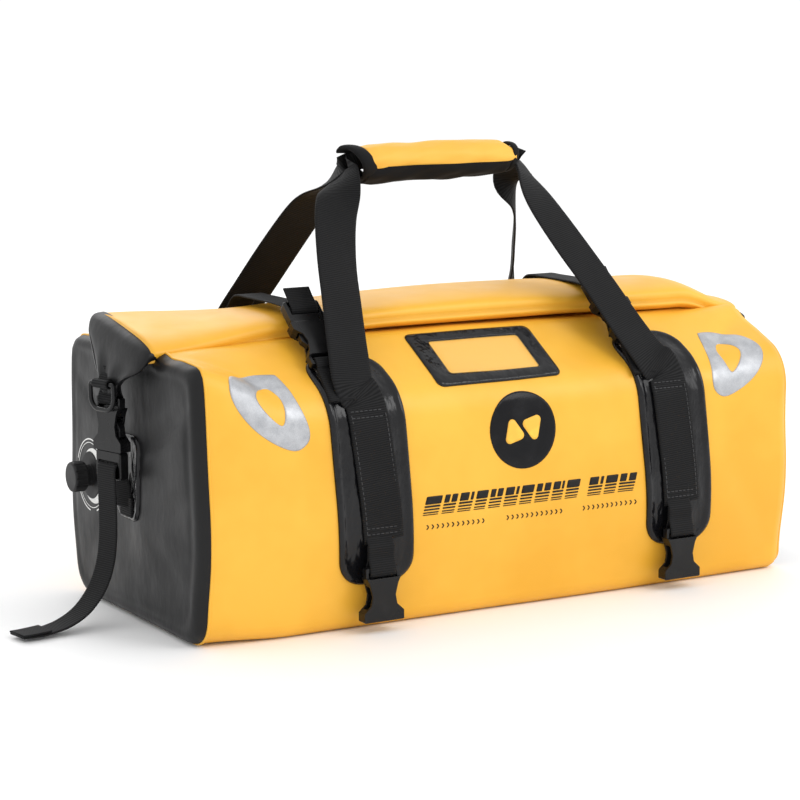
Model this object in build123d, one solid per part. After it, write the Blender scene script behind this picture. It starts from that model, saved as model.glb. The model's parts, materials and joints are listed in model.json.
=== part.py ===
"""Waterproof roll-top duffel bag with black end panels, two webbing handles and side-release buckles.

Frame: origin at the middle of the flat base, +X along the bag's length, -Y is the front, +Z up.
Units are millimetres.
"""

import os
from math import cos, radians, sin, tan

from build123d import *

os.makedirs("parts", exist_ok=True)

# ---------------------------------------------------------------- driving dimensions
LENGTH = 600.0                 # outside, between the two end panels
WALL = 1.6                     # coated fabric with its weld tape
BODY_OUTLINE = [               # half of the cross-section: y, z, corner radius
    (130, 0, 12),
    (143, 88, 260),
    (133, 196, 45),
    (62, 241, 16),
]
END_ROUND = 12.0               # radius where the body turns into an end panel
SEAM_INSET = 12.0              # the end panel wraps this far along the bag
MOUTH = (536.0, 30.0)          # length and width of the open mouth below the roll

ROLL_HALF_WIDTH = 56.0         # the rolled closure, flattened
ROLL_BOTTOM, ROLL_TOP = 243.0, 265.0
ROLL_LENGTH = 566.0

PATCH_X = (-141.0, 171.0)      # centre of each welded patch, left and right
HANDLE_X = (-138.0, 170.0)     # centre of the handle webbing on its patch
COMPRESSION_X = (-164.0, 143.0)  # centre of the compression strap behind each leg
PATCH_WIDTH, PATCH_THICKNESS = 72.0, 2.4
PATCH_LOW, PATCH_HIGH = 40.0, 227.0
HANDLE_WEBBING = (38.0, 2.0)   # width, thickness
ANCHOR_LOW, ANCHOR_HIGH = 78.0, 196.0
NARROW_WEBBING = (25.0, 1.6)
GAP = 0.3                      # clearance left between pieces that move or are sewn

GRIP_Z, GRIP_Y = 386.0, -7.0   # centre of the handle wrap
GRIP_RADII = (18.0, 14.0)
GRIP_HALF = 88.0

SLOPE = 41.0                   # lie of the two compression buckles, degrees from level
STRAP_OVER_ROLL = 12.5         # middle of the compression webbing from the centre of the roll's edge
CLOSURE_X = LENGTH / 2 + 16.0  # plane of the buckles at the two ends
CLOSURE_MOUTH_Z = 150.0
CLOSURE_YAW = 14.0             # the end buckles hang turned a little to the front

VALVE_Y, VALVE_Z = 82.0, 114.0


# ---------------------------------------------------------------- shared helpers
def outline(offset_by=0.0):
    """The body's cross-section as a face in the YZ plane, grown by offset_by."""
    half = BODY_OUTLINE
    corners = [(-y, z) for y, z, _ in half] + [(y, z) for y, z, _ in reversed(half)]
    radii = [r for _, _, r in half] + [r for _, _, r in reversed(half)]
    face = make_face(Polyline(*corners, close=True))
    for (y, z), r in zip(corners, radii):
        corner = face.vertices().sort_by_distance((y, z, 0))[0]
        face = fillet(corner, r)
    if offset_by:
        face = offset(face, offset_by, kind=Kind.ARC)
    return face


def slab(face, x_low, x_high):
    """The face, drawn in Y and Z, extruded from x_low to x_high."""
    placed = Plane((x_low, 0, 0), x_dir=(0, 1, 0), z_dir=(1, 0, 0)) * face
    return extrude(placed, x_high - x_low)


def surface_point(z, offset_by):
    """(y, z) on the front of the body's outline grown by offset_by, at height z."""
    edge_points = [
        edge @ (i / 60)
        for edge in outline(offset_by).edges()
        for i in range(61)
    ]
    front = [p for p in edge_points if p.X < 0]
    nearest = min(front, key=lambda p: abs(p.Y - z))
    return nearest.X, nearest.Y


def band(low, high, x_centre, width, z_low, z_high, corner):
    """A strip lying on the front of the body, between two offsets, with rounded corners."""
    ring = outline(high) - outline(low)
    ring &= Pos(-100, (z_low + z_high) / 2) * Rectangle(180, z_high - z_low + 8)
    strip = slab(ring, x_centre - width / 2 - 4, x_centre + width / 2 + 4)
    mask = Plane((x_centre, 0, (z_low + z_high) / 2), x_dir=(1, 0, 0), z_dir=(0, -1, 0))
    mask = mask * RectangleRounded(width, z_high - z_low, corner)
    return strip & extrude(mask, 200)


def bar(start, end, width_dir, width, thickness):
    """A straight flat strap from start to end, as wide as width along width_dir."""
    a, b = Vector(*start), Vector(*end)
    along = (b - a).normalized()
    across = Vector(*width_dir)
    across = (across - along * across.dot(along)).normalized()
    plane = Plane(origin=a, x_dir=across, z_dir=along)
    return extrude(plane * Rectangle(width, thickness), (b - a).length)


def webbing(points, radii, width_dir, width, thickness):
    """A flat strap swept along runs joined by arcs, lying across width_dir."""
    path = FilletPolyline(*points, radius=radii)
    start = Plane(origin=path @ 0, x_dir=width_dir, z_dir=path % 0)
    return sweep(start * Rectangle(width, thickness), path=path)


def frame_at(origin, x_dir, z_dir):
    """Where a buckle's own frame sits in the bag's frame."""
    return Plane(origin=origin, x_dir=x_dir, z_dir=z_dir).location


def front_back(shape):
    """The same piece on the back of the bag."""
    return mirror(shape, Plane.XZ)


def left_right(shape):
    """The same piece at the other end of the bag."""
    return mirror(shape, Plane.YZ)


# ---------------------------------------------------------------- side-release buckle, 25 mm webbing
# Own frame: z runs from the male half into the female half, x across the webbing, y is the thickness.
FEMALE_LENGTH = 46.0
FEMALE_BAR = (42.0, 46.0)
CAVITY = (15.5, 3.4, 30.0)     # half width, half thickness, depth
PRONG_PIVOT = (9.6, 3.1)       # x and z of the flexing root of each prong


def female_half():
    outer = make_face(
        Polyline((-19, 0), (19, 0), (19, 8), (12.5, 14), (11, 22), (13.5, 32), (16, 37),
                 (16, 46), (-16, 46), (-16, 37), (-13.5, 32), (-11, 22), (-12.5, 14), (-19, 8),
                 close=True)
    )
    body = extrude(Plane.XZ * outer, 5.5, both=True)
    body = fillet(body.edges().filter_by(Axis.Y), 1.2)
    half_width, half_thick, depth = CAVITY
    body -= Pos(0, 0, depth / 2 - 1) * Box(2 * half_width, 2 * half_thick, depth + 2)
    body -= Pos(0, 0, 39.5) * Box(27, 20, 5)
    for side in (-1, 1):       # the bar is thinner than the body
        body -= Pos(0, side * (3 + 5), 42) * Box(60, 10, 9)
    return body


def webbing_loop(tail):
    """Webbing sewn round the female half's bar, then doubled for tail millimetres to a round fold."""
    width, thick = NARROW_WEBBING
    low, high = FEMALE_BAR
    ring = Pos(0, 44) * RectangleRounded(2 * (3 + GAP + thick), 11, 3)
    ring -= Pos(0, 44) * RectangleRounded(2 * (3 + GAP), 11 - 2 * thick, 2)
    ring += Pos(0, 48.6 + tail / 2) * Rectangle(2 * thick, tail)
    ring += Pos(0, 48.6 + tail) * Circle(thick)
    return extrude(Plane.YZ * ring, width / 2, both=True)


def male_half():
    body = Pos(0, 0, -0.2 - 12) * Box(34, 9, 24)
    body = fillet(body.edges().filter_by(Axis.Y), 3)
    body = chamfer(body.faces().sort_by(Axis.Z)[0].edges(), 0.8)
    for z in (-11, -20):       # adjuster slots
        body -= Pos(0, 0, z) * Box(27, 20, 4.4)
    guide = Pos(0, 0, 10) * Box(4.4, 5.2, 23)
    guide = chamfer(guide.faces().sort_by(Axis.Z)[-1].edges(), 1)
    return body + guide


def prong(side):
    """One of the two flexing arms with its press pad; side is -1 or 1."""
    px, pz = PRONG_PIVOT
    arm = make_face(
        Polyline((7.6, pz), (11.6, pz), (12.6, 11.5), (15.1, 13), (15.1, 20), (11, 25), (8.6, 25),
                 (7.6, 21), close=True)
    )
    arm += Pos(px, pz) * Circle(2.6)
    solid = extrude(Plane.XZ * arm, 2.8, both=True)
    return mirror(solid, Plane.YZ) if side < 0 else solid


# ---------------------------------------------------------------- fabric body
def make_body():
    outer = slab(outline(), -LENGTH / 2, LENGTH / 2)
    outer = fillet(
        outer.faces().sort_by(Axis.X)[0].edges() + outer.faces().sort_by(Axis.X)[-1].edges(),
        END_ROUND,
    )
    inner_half = LENGTH / 2 - WALL
    inner = slab(outline(-WALL), -inner_half, inner_half)
    inner = fillet(
        inner.faces().sort_by(Axis.X)[0].edges() + inner.faces().sort_by(Axis.X)[-1].edges(),
        END_ROUND - WALL,
    )
    shell = outer - inner
    seam = LENGTH / 2 - SEAM_INSET
    middle = Pos(0, 0, 150) * Box(2 * seam, 400, 400)
    left_end = shell & Pos(-seam - 50, 0, 150) * Box(100, 400, 400)
    valve_hole = Pos(-LENGTH / 2, VALVE_Y, VALVE_Z) * Rot(0, 90, 0) * Cylinder(9, 20)
    body = (shell & middle) - Pos(0, 0, ROLL_BOTTOM) * Box(*MOUTH, 20)
    return {
        "body_shell": body,
        "end_panel_left": left_end - valve_hole,
        "end_panel_right": left_right(left_end),
    }


# ---------------------------------------------------------------- rolled closure
def make_roll():
    height = ROLL_TOP - ROLL_BOTTOM
    middle = (ROLL_TOP + ROLL_BOTTOM) / 2
    section = Pos(0, middle) * SlotOverall(2 * ROLL_HALF_WIDTH, height)
    roll = slab(section, -ROLL_LENGTH / 2, ROLL_LENGTH / 2)
    pocket = (ROLL_LENGTH - 30, 74.0, 4.0)
    strips = []
    for z in (middle - 4, middle + 4):
        roll -= Pos(0, 0, z) * Box(*pocket)
        strips.append(Pos(0, 0, z) * Box(pocket[0] - 4, 30, 2.0))
    end = slab(section, -ROLL_LENGTH / 2 - 20, -ROLL_LENGTH / 2 - 0.2)
    flap = make_face(Polyline((-50, 246), (50, 250), (15, 200), (-15, 200), close=True))
    flap = fillet(flap.vertices(), 6)
    outer_x = -LENGTH / 2 - 11
    end += slab(flap, outer_x, outer_x + 11)
    end -= Pos(-LENGTH / 2 + 9, 0, ROLL_BOTTOM - 43) * Box(20, 300, 86)
    return {
        "roll_top": roll,
        "roll_stiffeners": Compound(strips),
        "roll_end_left": end,
        "roll_end_right": left_right(end),
    }


# ---------------------------------------------------------------- front trim
def make_trim():
    low, high, window_x, emblem_x = 200.0, 238.0, -4.0, 11.0
    window_frame = band(0.1, 1.2, window_x, 128, low, high, 8)
    inner = band(0.0, 3.0, window_x, 94, low + 8, high - 6, 5)
    window = band(0.2, 0.8, window_x, 93.6, low + 8.2, high - 6.2, 5)
    emblem = band(0.05, 0.5, emblem_x, 70, 124, 193, 20)
    disc = Plane((emblem_x, 0, 158), x_dir=(1, 0, 0), z_dir=(0, -1, 0)) * Circle(34)
    emblem &= extrude(disc, 200)
    film = band(0.05, 0.45, -230, 84, 138, 222, 10)
    shape = make_face(Polyline((-270, 192), (-204, 219), (-196, 152), close=True))
    shape = fillet(shape.vertices(), 13)
    hole = make_face(Polyline((-246, 189), (-214, 203), (-210, 169), close=True))
    shape -= fillet(hole.vertices(), 7)
    film &= extrude(Plane.XZ * shape, 200)
    return {
        "id_window_frame": window_frame - inner,
        "id_window": window,
        "emblem_film": emblem,
        "reflective_films": Compound([film, Pos(15, 0, 0) * left_right(film)]),
    }


# ---------------------------------------------------------------- handle anchors
def make_anchors():
    patches = Compound([
        band(0.05, PATCH_THICKNESS, x, PATCH_WIDTH, PATCH_LOW, PATCH_HIGH, 22) for x in PATCH_X
    ])
    width, thick = HANDLE_WEBBING
    low = PATCH_THICKNESS + 0.1
    straps = Compound([
        band(low, low + thick, x, width, ANCHOR_LOW, ANCHOR_HIGH, 0.8) for x in HANDLE_X
    ])
    return {
        "front_patches": patches,
        "rear_patches": front_back(patches),
        "front_anchor_webbing": straps,
        "rear_anchor_webbing": front_back(straps),
    }


# ---------------------------------------------------------------- carry handles
def handle_hinge():
    """(y, z) of the line where a handle's webbing leaves its anchor."""
    y, z = surface_point(ANCHOR_HIGH, PATCH_THICKNESS + 0.1 + HANDLE_WEBBING[1] + 1.2)
    return y, z + 2.5


def handle_leg(x, top_y, grow=0.0):
    """The leg of a handle at x, from a round fold on the hinge line up to the wrap, grown by grow."""
    width, thick = HANDLE_WEBBING
    hinge_y, hinge_z = handle_hinge()
    lean = Vector(0, top_y - hinge_y, GRIP_Z - hinge_z)
    plane = Plane((0, hinge_y, hinge_z), x_dir=(1, 0, 0), z_dir=Vector(1, 0, 0).cross(lean))
    half, head = width / 2 + grow, (GRIP_HALF - 6) * (1 if x > 0 else -1)
    outline_face = make_face(
        Polyline((x - half, 0), (x + half, 0), (head + half, lean.length),
                 (head - half, lean.length), close=True)
    )
    leg = extrude(plane * outline_face, thick / 2 + grow, both=True)
    fold = Pos(x, hinge_y, hinge_z) * Rot(0, 90, 0) * Cylinder(thick / 2, width)
    return leg if grow else leg + fold


def make_handles():
    cy, cz, (ry, rz) = GRIP_Y, GRIP_Z, GRIP_RADII

    def handle(top_y, top_half_height):
        bridge = Pos(0, top_y, cz) * Box(2 * GRIP_HALF - 8, 4, 2 * top_half_height)
        return handle_leg(HANDLE_X[0], top_y) + handle_leg(HANDLE_X[1], top_y) + bridge

    rear_y = 8.0
    front = handle(cy, 9)
    rear = handle(-rear_y, 9)
    keep = Pos(0, -50 + 4.5, cz) * Box(400, 100, 60)      # the wrap is open towards the back

    def ring(outer_grow, inner_grow, x_low, x_high):
        outer = Pos(cy, cz) * Ellipse(ry + outer_grow, rz + outer_grow)
        inner = Pos(cy, cz) * Ellipse(ry + inner_grow, rz + inner_grow)
        return slab(outer - inner, x_low, x_high) & keep

    cover_half = GRIP_HALF - 12
    split = cz - 6
    above = Pos(0, 0, split + 50 + 0.1) * Box(400, 200, 100)
    below = Pos(0, 0, split - 50 - 0.1) * Box(400, 200, 100)
    cover = ring(0, -2.4, -cover_half, cover_half) & above
    lining = (ring(0, -2.4, -cover_half, cover_half) & below) + ring(-2.5, -7, -cover_half, cover_half)
    lining -= Pos(0, cy, cz) * Box(400, 4 + 2 * GAP, 18 + 2 * GAP)
    legs_clear = handle_leg(HANDLE_X[0], cy, GAP) + handle_leg(HANDLE_X[1], cy, GAP)
    bands = [
        ring(1.6, 0.1, -cover_half, -cover_half + 20),
        ring(1.6, 0.1, cover_half - 8, cover_half),
    ]
    return {
        "front_handle_webbing": front,
        "rear_handle_webbing": front_back(rear),
        "grip_cover": cover - legs_clear,
        "grip_lining": lining - legs_clear,
        "grip_bands": Compound([b - legs_clear for b in bands]),
    }


# ---------------------------------------------------------------- tie-down buckles
TIEDOWN_TAIL = 18.0


def tiedown_origin():
    """(y, z) of the mouth of a hanging tie-down buckle."""
    y, _ = surface_point(ANCHOR_LOW, PATCH_THICKNESS + HANDLE_WEBBING[1] + 2.2)
    return y - 1.0, ANCHOR_LOW - FEMALE_LENGTH - TIEDOWN_TAIL - 3.6


def make_tiedowns():
    y, z = tiedown_origin()
    nodes = {}
    for name, x in zip(("left", "right"), HANDLE_X):
        place = frame_at((x, y, z), (1, 0, 0), (0, 0, 1))
        loop, buckle = place * webbing_loop(TIEDOWN_TAIL), place * female_half()
        nodes[f"tiedown_loop_front_{name}"] = loop
        nodes[f"tiedown_buckle_front_{name}"] = buckle
        nodes[f"tiedown_loop_rear_{name}"] = front_back(loop)
        nodes[f"tiedown_buckle_rear_{name}"] = front_back(buckle)
    return nodes


# ---------------------------------------------------------------- compression straps over the roll
def compression_axis():
    """Unit vector from the female half up to the male half, as (y, z), and the mouth's (y, z)."""
    u = (cos(radians(SLOPE)), sin(radians(SLOPE)))
    edge_y, edge_z = roll_edge()
    stand_off, back = STRAP_OVER_ROLL + 5.7, 20.0
    return u, (edge_y - stand_off * u[1] - back * u[0], edge_z + stand_off * u[0] - back * u[1])


def roll_edge():
    """(y, z) of the centre that the roll's front edge is rounded about."""
    radius = (ROLL_TOP - ROLL_BOTTOM) / 2
    return -(ROLL_HALF_WIDTH - radius), ROLL_BOTTOM + radius


def make_compression():
    u, (mouth_y, mouth_z) = compression_axis()
    width, thick = NARROW_WEBBING

    def at(y_own, z_own):
        """A point of the buckle's own frame, in the bag's YZ plane."""
        return (mouth_y - u[1] * y_own - u[0] * z_own, mouth_z + u[0] * y_own - u[1] * z_own)

    nodes = {}
    loops = []
    for name, x in zip(("left", "right"), COMPRESSION_X):
        place = frame_at((x, mouth_y, mouth_z), (1, 0, 0), (0, -u[0], -u[1]))
        nodes[f"compression_female_{name}"] = place * female_half()
        nodes[f"compression_male_{name}"] = place * male_half()
        for side, label in ((-1, "a"), (1, "b")):
            nodes[f"compression_latch_{name}_{label}"] = place * prong(side)
        loop = place * webbing_loop(2.0)
        end_y, end_z = at(0, FEMALE_LENGTH + 4)
        foot_y, foot_z = surface_point(end_z - 6, PATCH_THICKNESS + thick + 0.3)
        loop += bar((x, end_y, end_z), (x, foot_y, foot_z), (1, 0, 0), width, 2 * thick)
        loops.append(loop)
        edge_y, edge_z = roll_edge()
        over = edge_z + STRAP_OVER_ROLL
        corner = edge_y - STRAP_OVER_ROLL * tan(radians(SLOPE / 2))
        rear_y, rear_z = surface_point(222, PATCH_THICKNESS + 0.3 + thick)
        points = [(-rear_y, rear_z), (-corner, over), (corner, over), at(-5.7, -11), at(5.7, -11),
                  at(5.7, -33)]
        path = [(x, y, z) for y, z in points]
        nodes[f"compression_strap_{name}"] = webbing(
            path, [STRAP_OVER_ROLL, STRAP_OVER_ROLL, 1.2, 1.2], (1, 0, 0), width, thick)
    nodes["compression_loops"] = Compound(loops)
    return nodes


# ---------------------------------------------------------------- closure straps at the two ends
RING_WIRE, RING_INNER = 2.0, (28.0, 20.0)
RING_Z = 208.0


def closure_frame(origin_x=-CLOSURE_X, z=CLOSURE_MOUTH_Z):
    across = (sin(radians(CLOSURE_YAW)), -cos(radians(CLOSURE_YAW)), 0)
    return frame_at((origin_x, 0, z), across, (0, 0, 1))


def d_ring():
    """A D-shaped ring in its own frame: straight bar along x at z = 0, the bow hanging below."""
    half = RING_INNER[0] / 2 + RING_WIRE
    drop = RING_INNER[1] + RING_WIRE
    path = FilletPolyline((half, 0, 0), (half, 0, -drop), (-half, 0, -drop), (-half, 0, 0),
                          radius=[2.6, 11, 11, 2.6], close=True)
    start = Plane(origin=path @ 0, z_dir=path % 0)
    return sweep(start * Circle(RING_WIRE), path=path)


def make_closures():
    width, thick = NARROW_WEBBING
    place = closure_frame()
    across = Vector(sin(radians(CLOSURE_YAW)), -cos(radians(CLOSURE_YAW)), 0)
    out = Vector(-cos(radians(CLOSURE_YAW)), -sin(radians(CLOSURE_YAW)), 0)
    axis = Vector(-CLOSURE_X, 0, 0)

    def at(outward, z, sideways=0.0):
        p = axis + out * outward + across * sideways
        return (p.X, p.Y, z)

    bow = place * Pos(0, 9.0, RING_Z - CLOSURE_MOUTH_Z) * d_ring()
    if bow.center().X > -CLOSURE_X:      # the ring hangs on the outer side
        bow = place * Pos(0, -9.0, RING_Z - CLOSURE_MOUTH_Z) * d_ring()
    tab = place * webbing_loop(20.0)
    collar = Circle(RING_WIRE + GAP + thick) - Circle(RING_WIRE + GAP)
    collar = extrude(Plane.YZ * collar, 11, both=True)
    outward_sign = -1 if (place * Pos(0, -9, 0) * Box(1, 1, 1)).center().X < -CLOSURE_X else 1
    tab += place * Pos(0, outward_sign * 9.0, RING_Z - CLOSURE_MOUTH_Z) * collar
    bridge = Box(22, 4.2, 3.0)
    tab += place * Pos(0, outward_sign * 3.3, RING_Z - CLOSURE_MOUTH_Z) * bridge
    run_out = 4.5 + GAP + thick / 2 + 0.4
    slot_z = CLOSURE_MOUTH_Z - 11
    sewn_x = CLOSURE_X - LENGTH / 2 - PATCH_THICKNESS - thick
    inner = [at(-sewn_x + 2.4, 97), at(-sewn_x + 2.4, 112), at(-run_out, 128), at(-run_out, slot_z),
             at(run_out, slot_z)]
    left_tail = [at(run_out, 84), at(15, 40), at(36, 13), at(60, 1.4), at(98, 1.3)]
    right_tail = [at(run_out, 84), at(11, 50), at(17, 24)]
    left = webbing(inner + left_tail, [6, 6, 1.2, 1.2, 60, 50, 40, 60], tuple(across), width, thick)
    right = webbing(inner + right_tail, [6, 6, 1.2, 1.2, 60, 50], tuple(across), width, thick)
    patch_face = RectangleRounded(48, 74, 12)
    patch = Plane((-LENGTH / 2 - 0.05, 0, 126), x_dir=(0, 1, 0), z_dir=(-1, 0, 0)) * patch_face
    patch = extrude(patch, PATCH_THICKNESS)
    female, male = place * female_half(), place * male_half()
    nodes = {
        "end_patches": Compound([patch, left_right(patch)]),
        "closure_strap_left": left,
        "closure_strap_right": left_right(right),
        "closure_tab_left": tab,
        "closure_tab_right": left_right(tab),
    }
    pieces = {"closure_female": female, "closure_male": male, "d_ring": bow}
    for label, side in (("a", -1), ("b", 1)):
        pieces[f"closure_latch_{label}"] = place * prong(side)
    for name, piece in pieces.items():
        nodes[f"{name}_left"] = piece
        nodes[f"{name}_right"] = left_right(piece)
    return nodes


# ---------------------------------------------------------------- air valve
def make_valve():
    axis = Pos(-LENGTH / 2, VALVE_Y, VALVE_Z) * Rot(0, -90, 0)   # +z of the valve points out
    base = Pos(0, 0, 1.4) * Cylinder(21, 2.4)
    base = fillet(base.edges().group_by(Axis.Z)[-1], 1.0)
    base += Pos(0, 0, -3) * Cylinder(8.7, 11) + Pos(0, 0, 5) * Cylinder(9.5, 5)
    base -= Cylinder(4.0, 60)
    knob = Pos(0, 0, 14.6) * Cylinder(13.5, 13)
    knob = fillet(knob.edges(), 2.4)
    for i in range(12):
        knob -= Rot(0, 0, 30 * i) * Pos(14.6, 0, 15) * Cylinder(1.7, 20)
    knob += Pos(0, 0, 4) * Cylinder(3.7, 14)
    seal = Pos(0, 0, -2.9) * (Cylinder(13, 2) - Cylinder(8.9, 2))
    nut = extrude(RegularPolygon(14, 6), 4, both=True) - Cylinder(8.9, 20)
    nut = Pos(0, 0, -8.2) * nut
    return {
        "valve_base": axis * base,
        "valve_knob": axis * knob,
        "valve_seal": axis * seal,
        "valve_nut": axis * nut,
    }


# ---------------------------------------------------------------- write every sub-part
def main():
    nodes = {}
    for make in (make_body, make_roll, make_trim, make_anchors, make_handles, make_tiedowns,
                 make_compression, make_closures, make_valve):
        nodes.update(make())
    for name, shape in nodes.items():
        export_step(shape, f"parts/{name}.step")
    print(len(nodes), "sub-parts written")
    print("handle hinge", handle_hinge(), "tie-down mouth", tiedown_origin())
    print("compression axis", compression_axis())


main()
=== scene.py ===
"""Looks of a waterproof roll-top duffel bag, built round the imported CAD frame.

Metres, same frame as the CAD: origin under the middle of the bag, +X along it, -Y is the front, +Z up.
"""

import json
import math

import bmesh
import bpy
import numpy as np
from mathutils import Matrix, Vector

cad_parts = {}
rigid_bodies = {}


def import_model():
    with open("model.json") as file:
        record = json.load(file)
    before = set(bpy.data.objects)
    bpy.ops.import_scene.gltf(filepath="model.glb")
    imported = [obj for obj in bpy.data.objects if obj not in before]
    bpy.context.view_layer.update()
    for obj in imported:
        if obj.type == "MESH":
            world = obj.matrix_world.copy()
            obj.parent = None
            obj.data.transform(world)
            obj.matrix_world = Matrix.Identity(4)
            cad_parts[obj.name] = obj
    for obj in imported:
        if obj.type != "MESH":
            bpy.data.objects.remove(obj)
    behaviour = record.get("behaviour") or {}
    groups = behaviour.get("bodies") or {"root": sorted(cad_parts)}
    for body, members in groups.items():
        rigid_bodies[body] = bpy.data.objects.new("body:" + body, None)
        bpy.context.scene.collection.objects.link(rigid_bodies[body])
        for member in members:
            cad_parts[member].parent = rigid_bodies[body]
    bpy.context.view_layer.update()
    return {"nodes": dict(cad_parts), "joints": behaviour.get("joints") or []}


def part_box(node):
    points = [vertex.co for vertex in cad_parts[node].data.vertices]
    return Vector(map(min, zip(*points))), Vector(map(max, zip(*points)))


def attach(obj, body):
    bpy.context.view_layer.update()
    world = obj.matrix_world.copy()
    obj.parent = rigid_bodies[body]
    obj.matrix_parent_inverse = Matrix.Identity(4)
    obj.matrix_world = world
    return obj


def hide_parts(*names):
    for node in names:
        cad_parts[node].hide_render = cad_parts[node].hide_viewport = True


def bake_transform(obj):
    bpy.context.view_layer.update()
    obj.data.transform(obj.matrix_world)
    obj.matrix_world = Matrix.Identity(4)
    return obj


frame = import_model()
MM = 0.001

# ---------------------------------------------------------------- sizes, from the frame
HALF_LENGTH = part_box("end_panel_right")[1].x
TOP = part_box("body_shell")[1].z
ROLL_LOW, ROLL_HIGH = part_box("roll_top")
PATCH_LOW, PATCH_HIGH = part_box("front_patches")
WEB_LOW, WEB_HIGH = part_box("front_anchor_webbing")
GRIP_LOW, GRIP_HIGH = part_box("grip_cover")
JOINTS = {j["name"]: j for j in frame["joints"]}

FULLEST_Z = 88 * MM                        # where the body is widest
SHOULDER_Z, EAR_SHOULDER_Z = 202 * MM, 229 * MM
# half of the body's cross-section: outward distance, height, corner radius
BODY_OUTLINE = [(0.0, 0.0, 0), (0.130, 0.0, 0.012), (0.143, FULLEST_Z, 0.260), (0.133, 0.196, 0.045),
                (0.062, TOP, 0.016), (0.0, TOP, 0)]
# the left end is filled out to a squarer section, with a peak at each top corner
EAR_OUTLINE = [(0.0, 0.0, 0), (0.128, 0.0, 0.032), (0.141, FULLEST_Z, 0.260), (0.127, 0.233, 0.011),
               (0.070, TOP - 0.006, 0.030), (0.0, TOP, 0)]
END_ROUND = 12 * MM
END_CENTRE = np.array([0, 0.5 * TOP])      # (y, z) of the middle of an end panel
PANEL_SINK = 1 * MM                        # how far an end panel lies inside the rounded edge
WEBBING = (38 * MM, 2.0 * MM)              # width and thickness
NARROW = (25 * MM, 1.6 * MM)
PATCH_HALF = 36 * MM
PATCH_X = {-1: PATCH_LOW.x + PATCH_HALF, 1: PATCH_HIGH.x - PATCH_HALF}
PATCH_LEAN = 5 * MM            # how far a patch's foot stands to the right of its middle
PATCH_LIFT = 2.6 * MM                      # the patch's face, and the middle of the webbing sewn to it
WEB_LIFT = PATCH_LIFT + 1 * MM
HANDLE_X = {-1: WEB_LOW.x + WEBBING[0] / 2, 1: WEB_HIGH.x - WEBBING[0] / 2}
BAR_REACH = 3.3                            # millimetres from a buckle bar's axis to the webbing round it
CLOSURE_X, CLOSURE_MOUTH_Z, CLOSURE_YAW = 316 * MM, 150 * MM, math.radians(14)
VALVE_Y, VALVE_Z = 82 * MM, 114 * MM


# ---------------------------------------------------------------- curves and profiles
def rounded(corners, arc_points=14):
    """An open polyline with its inner corners (a, b, radius) turned into arcs."""
    points = [np.array(corners[0][:2], float)]
    for before, here, after in zip(corners, corners[1:], corners[2:]):
        p, q, r = (np.array(c[:2], float) for c in (before, here, after))
        a, b = (p - q) / np.linalg.norm(p - q), (r - q) / np.linalg.norm(r - q)
        half = math.acos(max(-1, min(1, float(a @ b)))) / 2
        reach = here[2] / math.tan(half)
        middle = q + (a + b) / np.linalg.norm(a + b) * here[2] / math.sin(half)
        start, end = q + a * reach - middle, q + b * reach - middle
        turn = math.acos(max(-1, min(1, float(start @ end) / (here[2] ** 2))))
        sign = np.sign(start[0] * end[1] - start[1] * end[0])
        for k in range(arc_points + 1):
            t = sign * turn * k / arc_points
            c, s = math.cos(t), math.sin(t)
            points.append(middle + np.array([c * start[0] - s * start[1], s * start[0] + c * start[1]]))
    points.append(np.array(corners[-1][:2], float))
    return np.array(points)


def by_length(points):
    """Arc length at each point, from 0, and the whole length."""
    steps = np.linalg.norm(np.diff(points, axis=0), axis=1)
    run = np.concatenate([[0], np.cumsum(steps)])
    return run, run[-1]


def spline(points, samples):
    """A smooth open curve through the points, evenly spaced, as an array."""
    p = np.array(points, float)
    p = np.vstack([2 * p[0] - p[1], p, 2 * p[-1] - p[-2]])
    out = []
    for i in range(1, len(p) - 2):
        p0, p1, p2, p3 = p[i - 1:i + 3]
        for t in np.linspace(0, 1, 16, endpoint=False):
            out.append(0.5 * (2 * p1 + (p2 - p0) * t + (2 * p0 - 5 * p1 + 4 * p2 - p3) * t ** 2
                              + (3 * p1 - p0 - 3 * p2 + p3) * t ** 3))
    out.append(p[-2])
    out = np.array(out)
    run, total = by_length(out)
    at = np.linspace(0, total, samples)
    return np.stack([np.interp(at, run, out[:, k]) for k in range(out.shape[1])], axis=1)


def smooth(low, high, value):
    """0 below low, 1 above high, smooth between."""
    t = np.clip((np.asarray(value, float) - low) / (high - low), 0, 1)
    return t * t * (3 - 2 * t)


def bell(centre, width, value):
    return np.exp(-((np.asarray(value, float) - centre) / width) ** 2)


PROFILE = rounded(BODY_OUTLINE)
PROFILE_RUN, PROFILE_LENGTH = by_length(PROFILE)
EAR = rounded(EAR_OUTLINE)
EAR_RUN, EAR_LENGTH = by_length(EAR)


def run_at_height(z, profile=PROFILE, run=PROFILE_RUN):
    """Arc length from the middle of the base to height z on the side wall."""
    return float(np.interp(z, profile[:, 1], run))


SHOULDER = run_at_height(SHOULDER_Z)
# arc lengths that belong together on the two outlines: base, fullest point, shoulder, top
MATCHED = ([0, run_at_height(FULLEST_Z), SHOULDER, PROFILE_LENGTH],
           [0, run_at_height(FULLEST_Z, EAR, EAR_RUN), run_at_height(EAR_SHOULDER_Z, EAR, EAR_RUN), EAR_LENGTH])


def profile_at(s, x=0.0):
    """(outward, up) on the half cross-section at x, at arc length s from the middle of the base."""
    a, z = np.interp(s, PROFILE_RUN, PROFILE[:, 0]), np.interp(s, PROFILE_RUN, PROFILE[:, 1])
    t = np.interp(s, *MATCHED)
    share = smooth(0.205, 0.305, -np.asarray(x, float)) ** 1.2 + 0.05 * smooth(0.22, 0.30, x)
    return (a + (np.interp(t, EAR_RUN, EAR[:, 0]) - a) * share,
            z + (np.interp(t, EAR_RUN, EAR[:, 1]) - z) * share)


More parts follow.
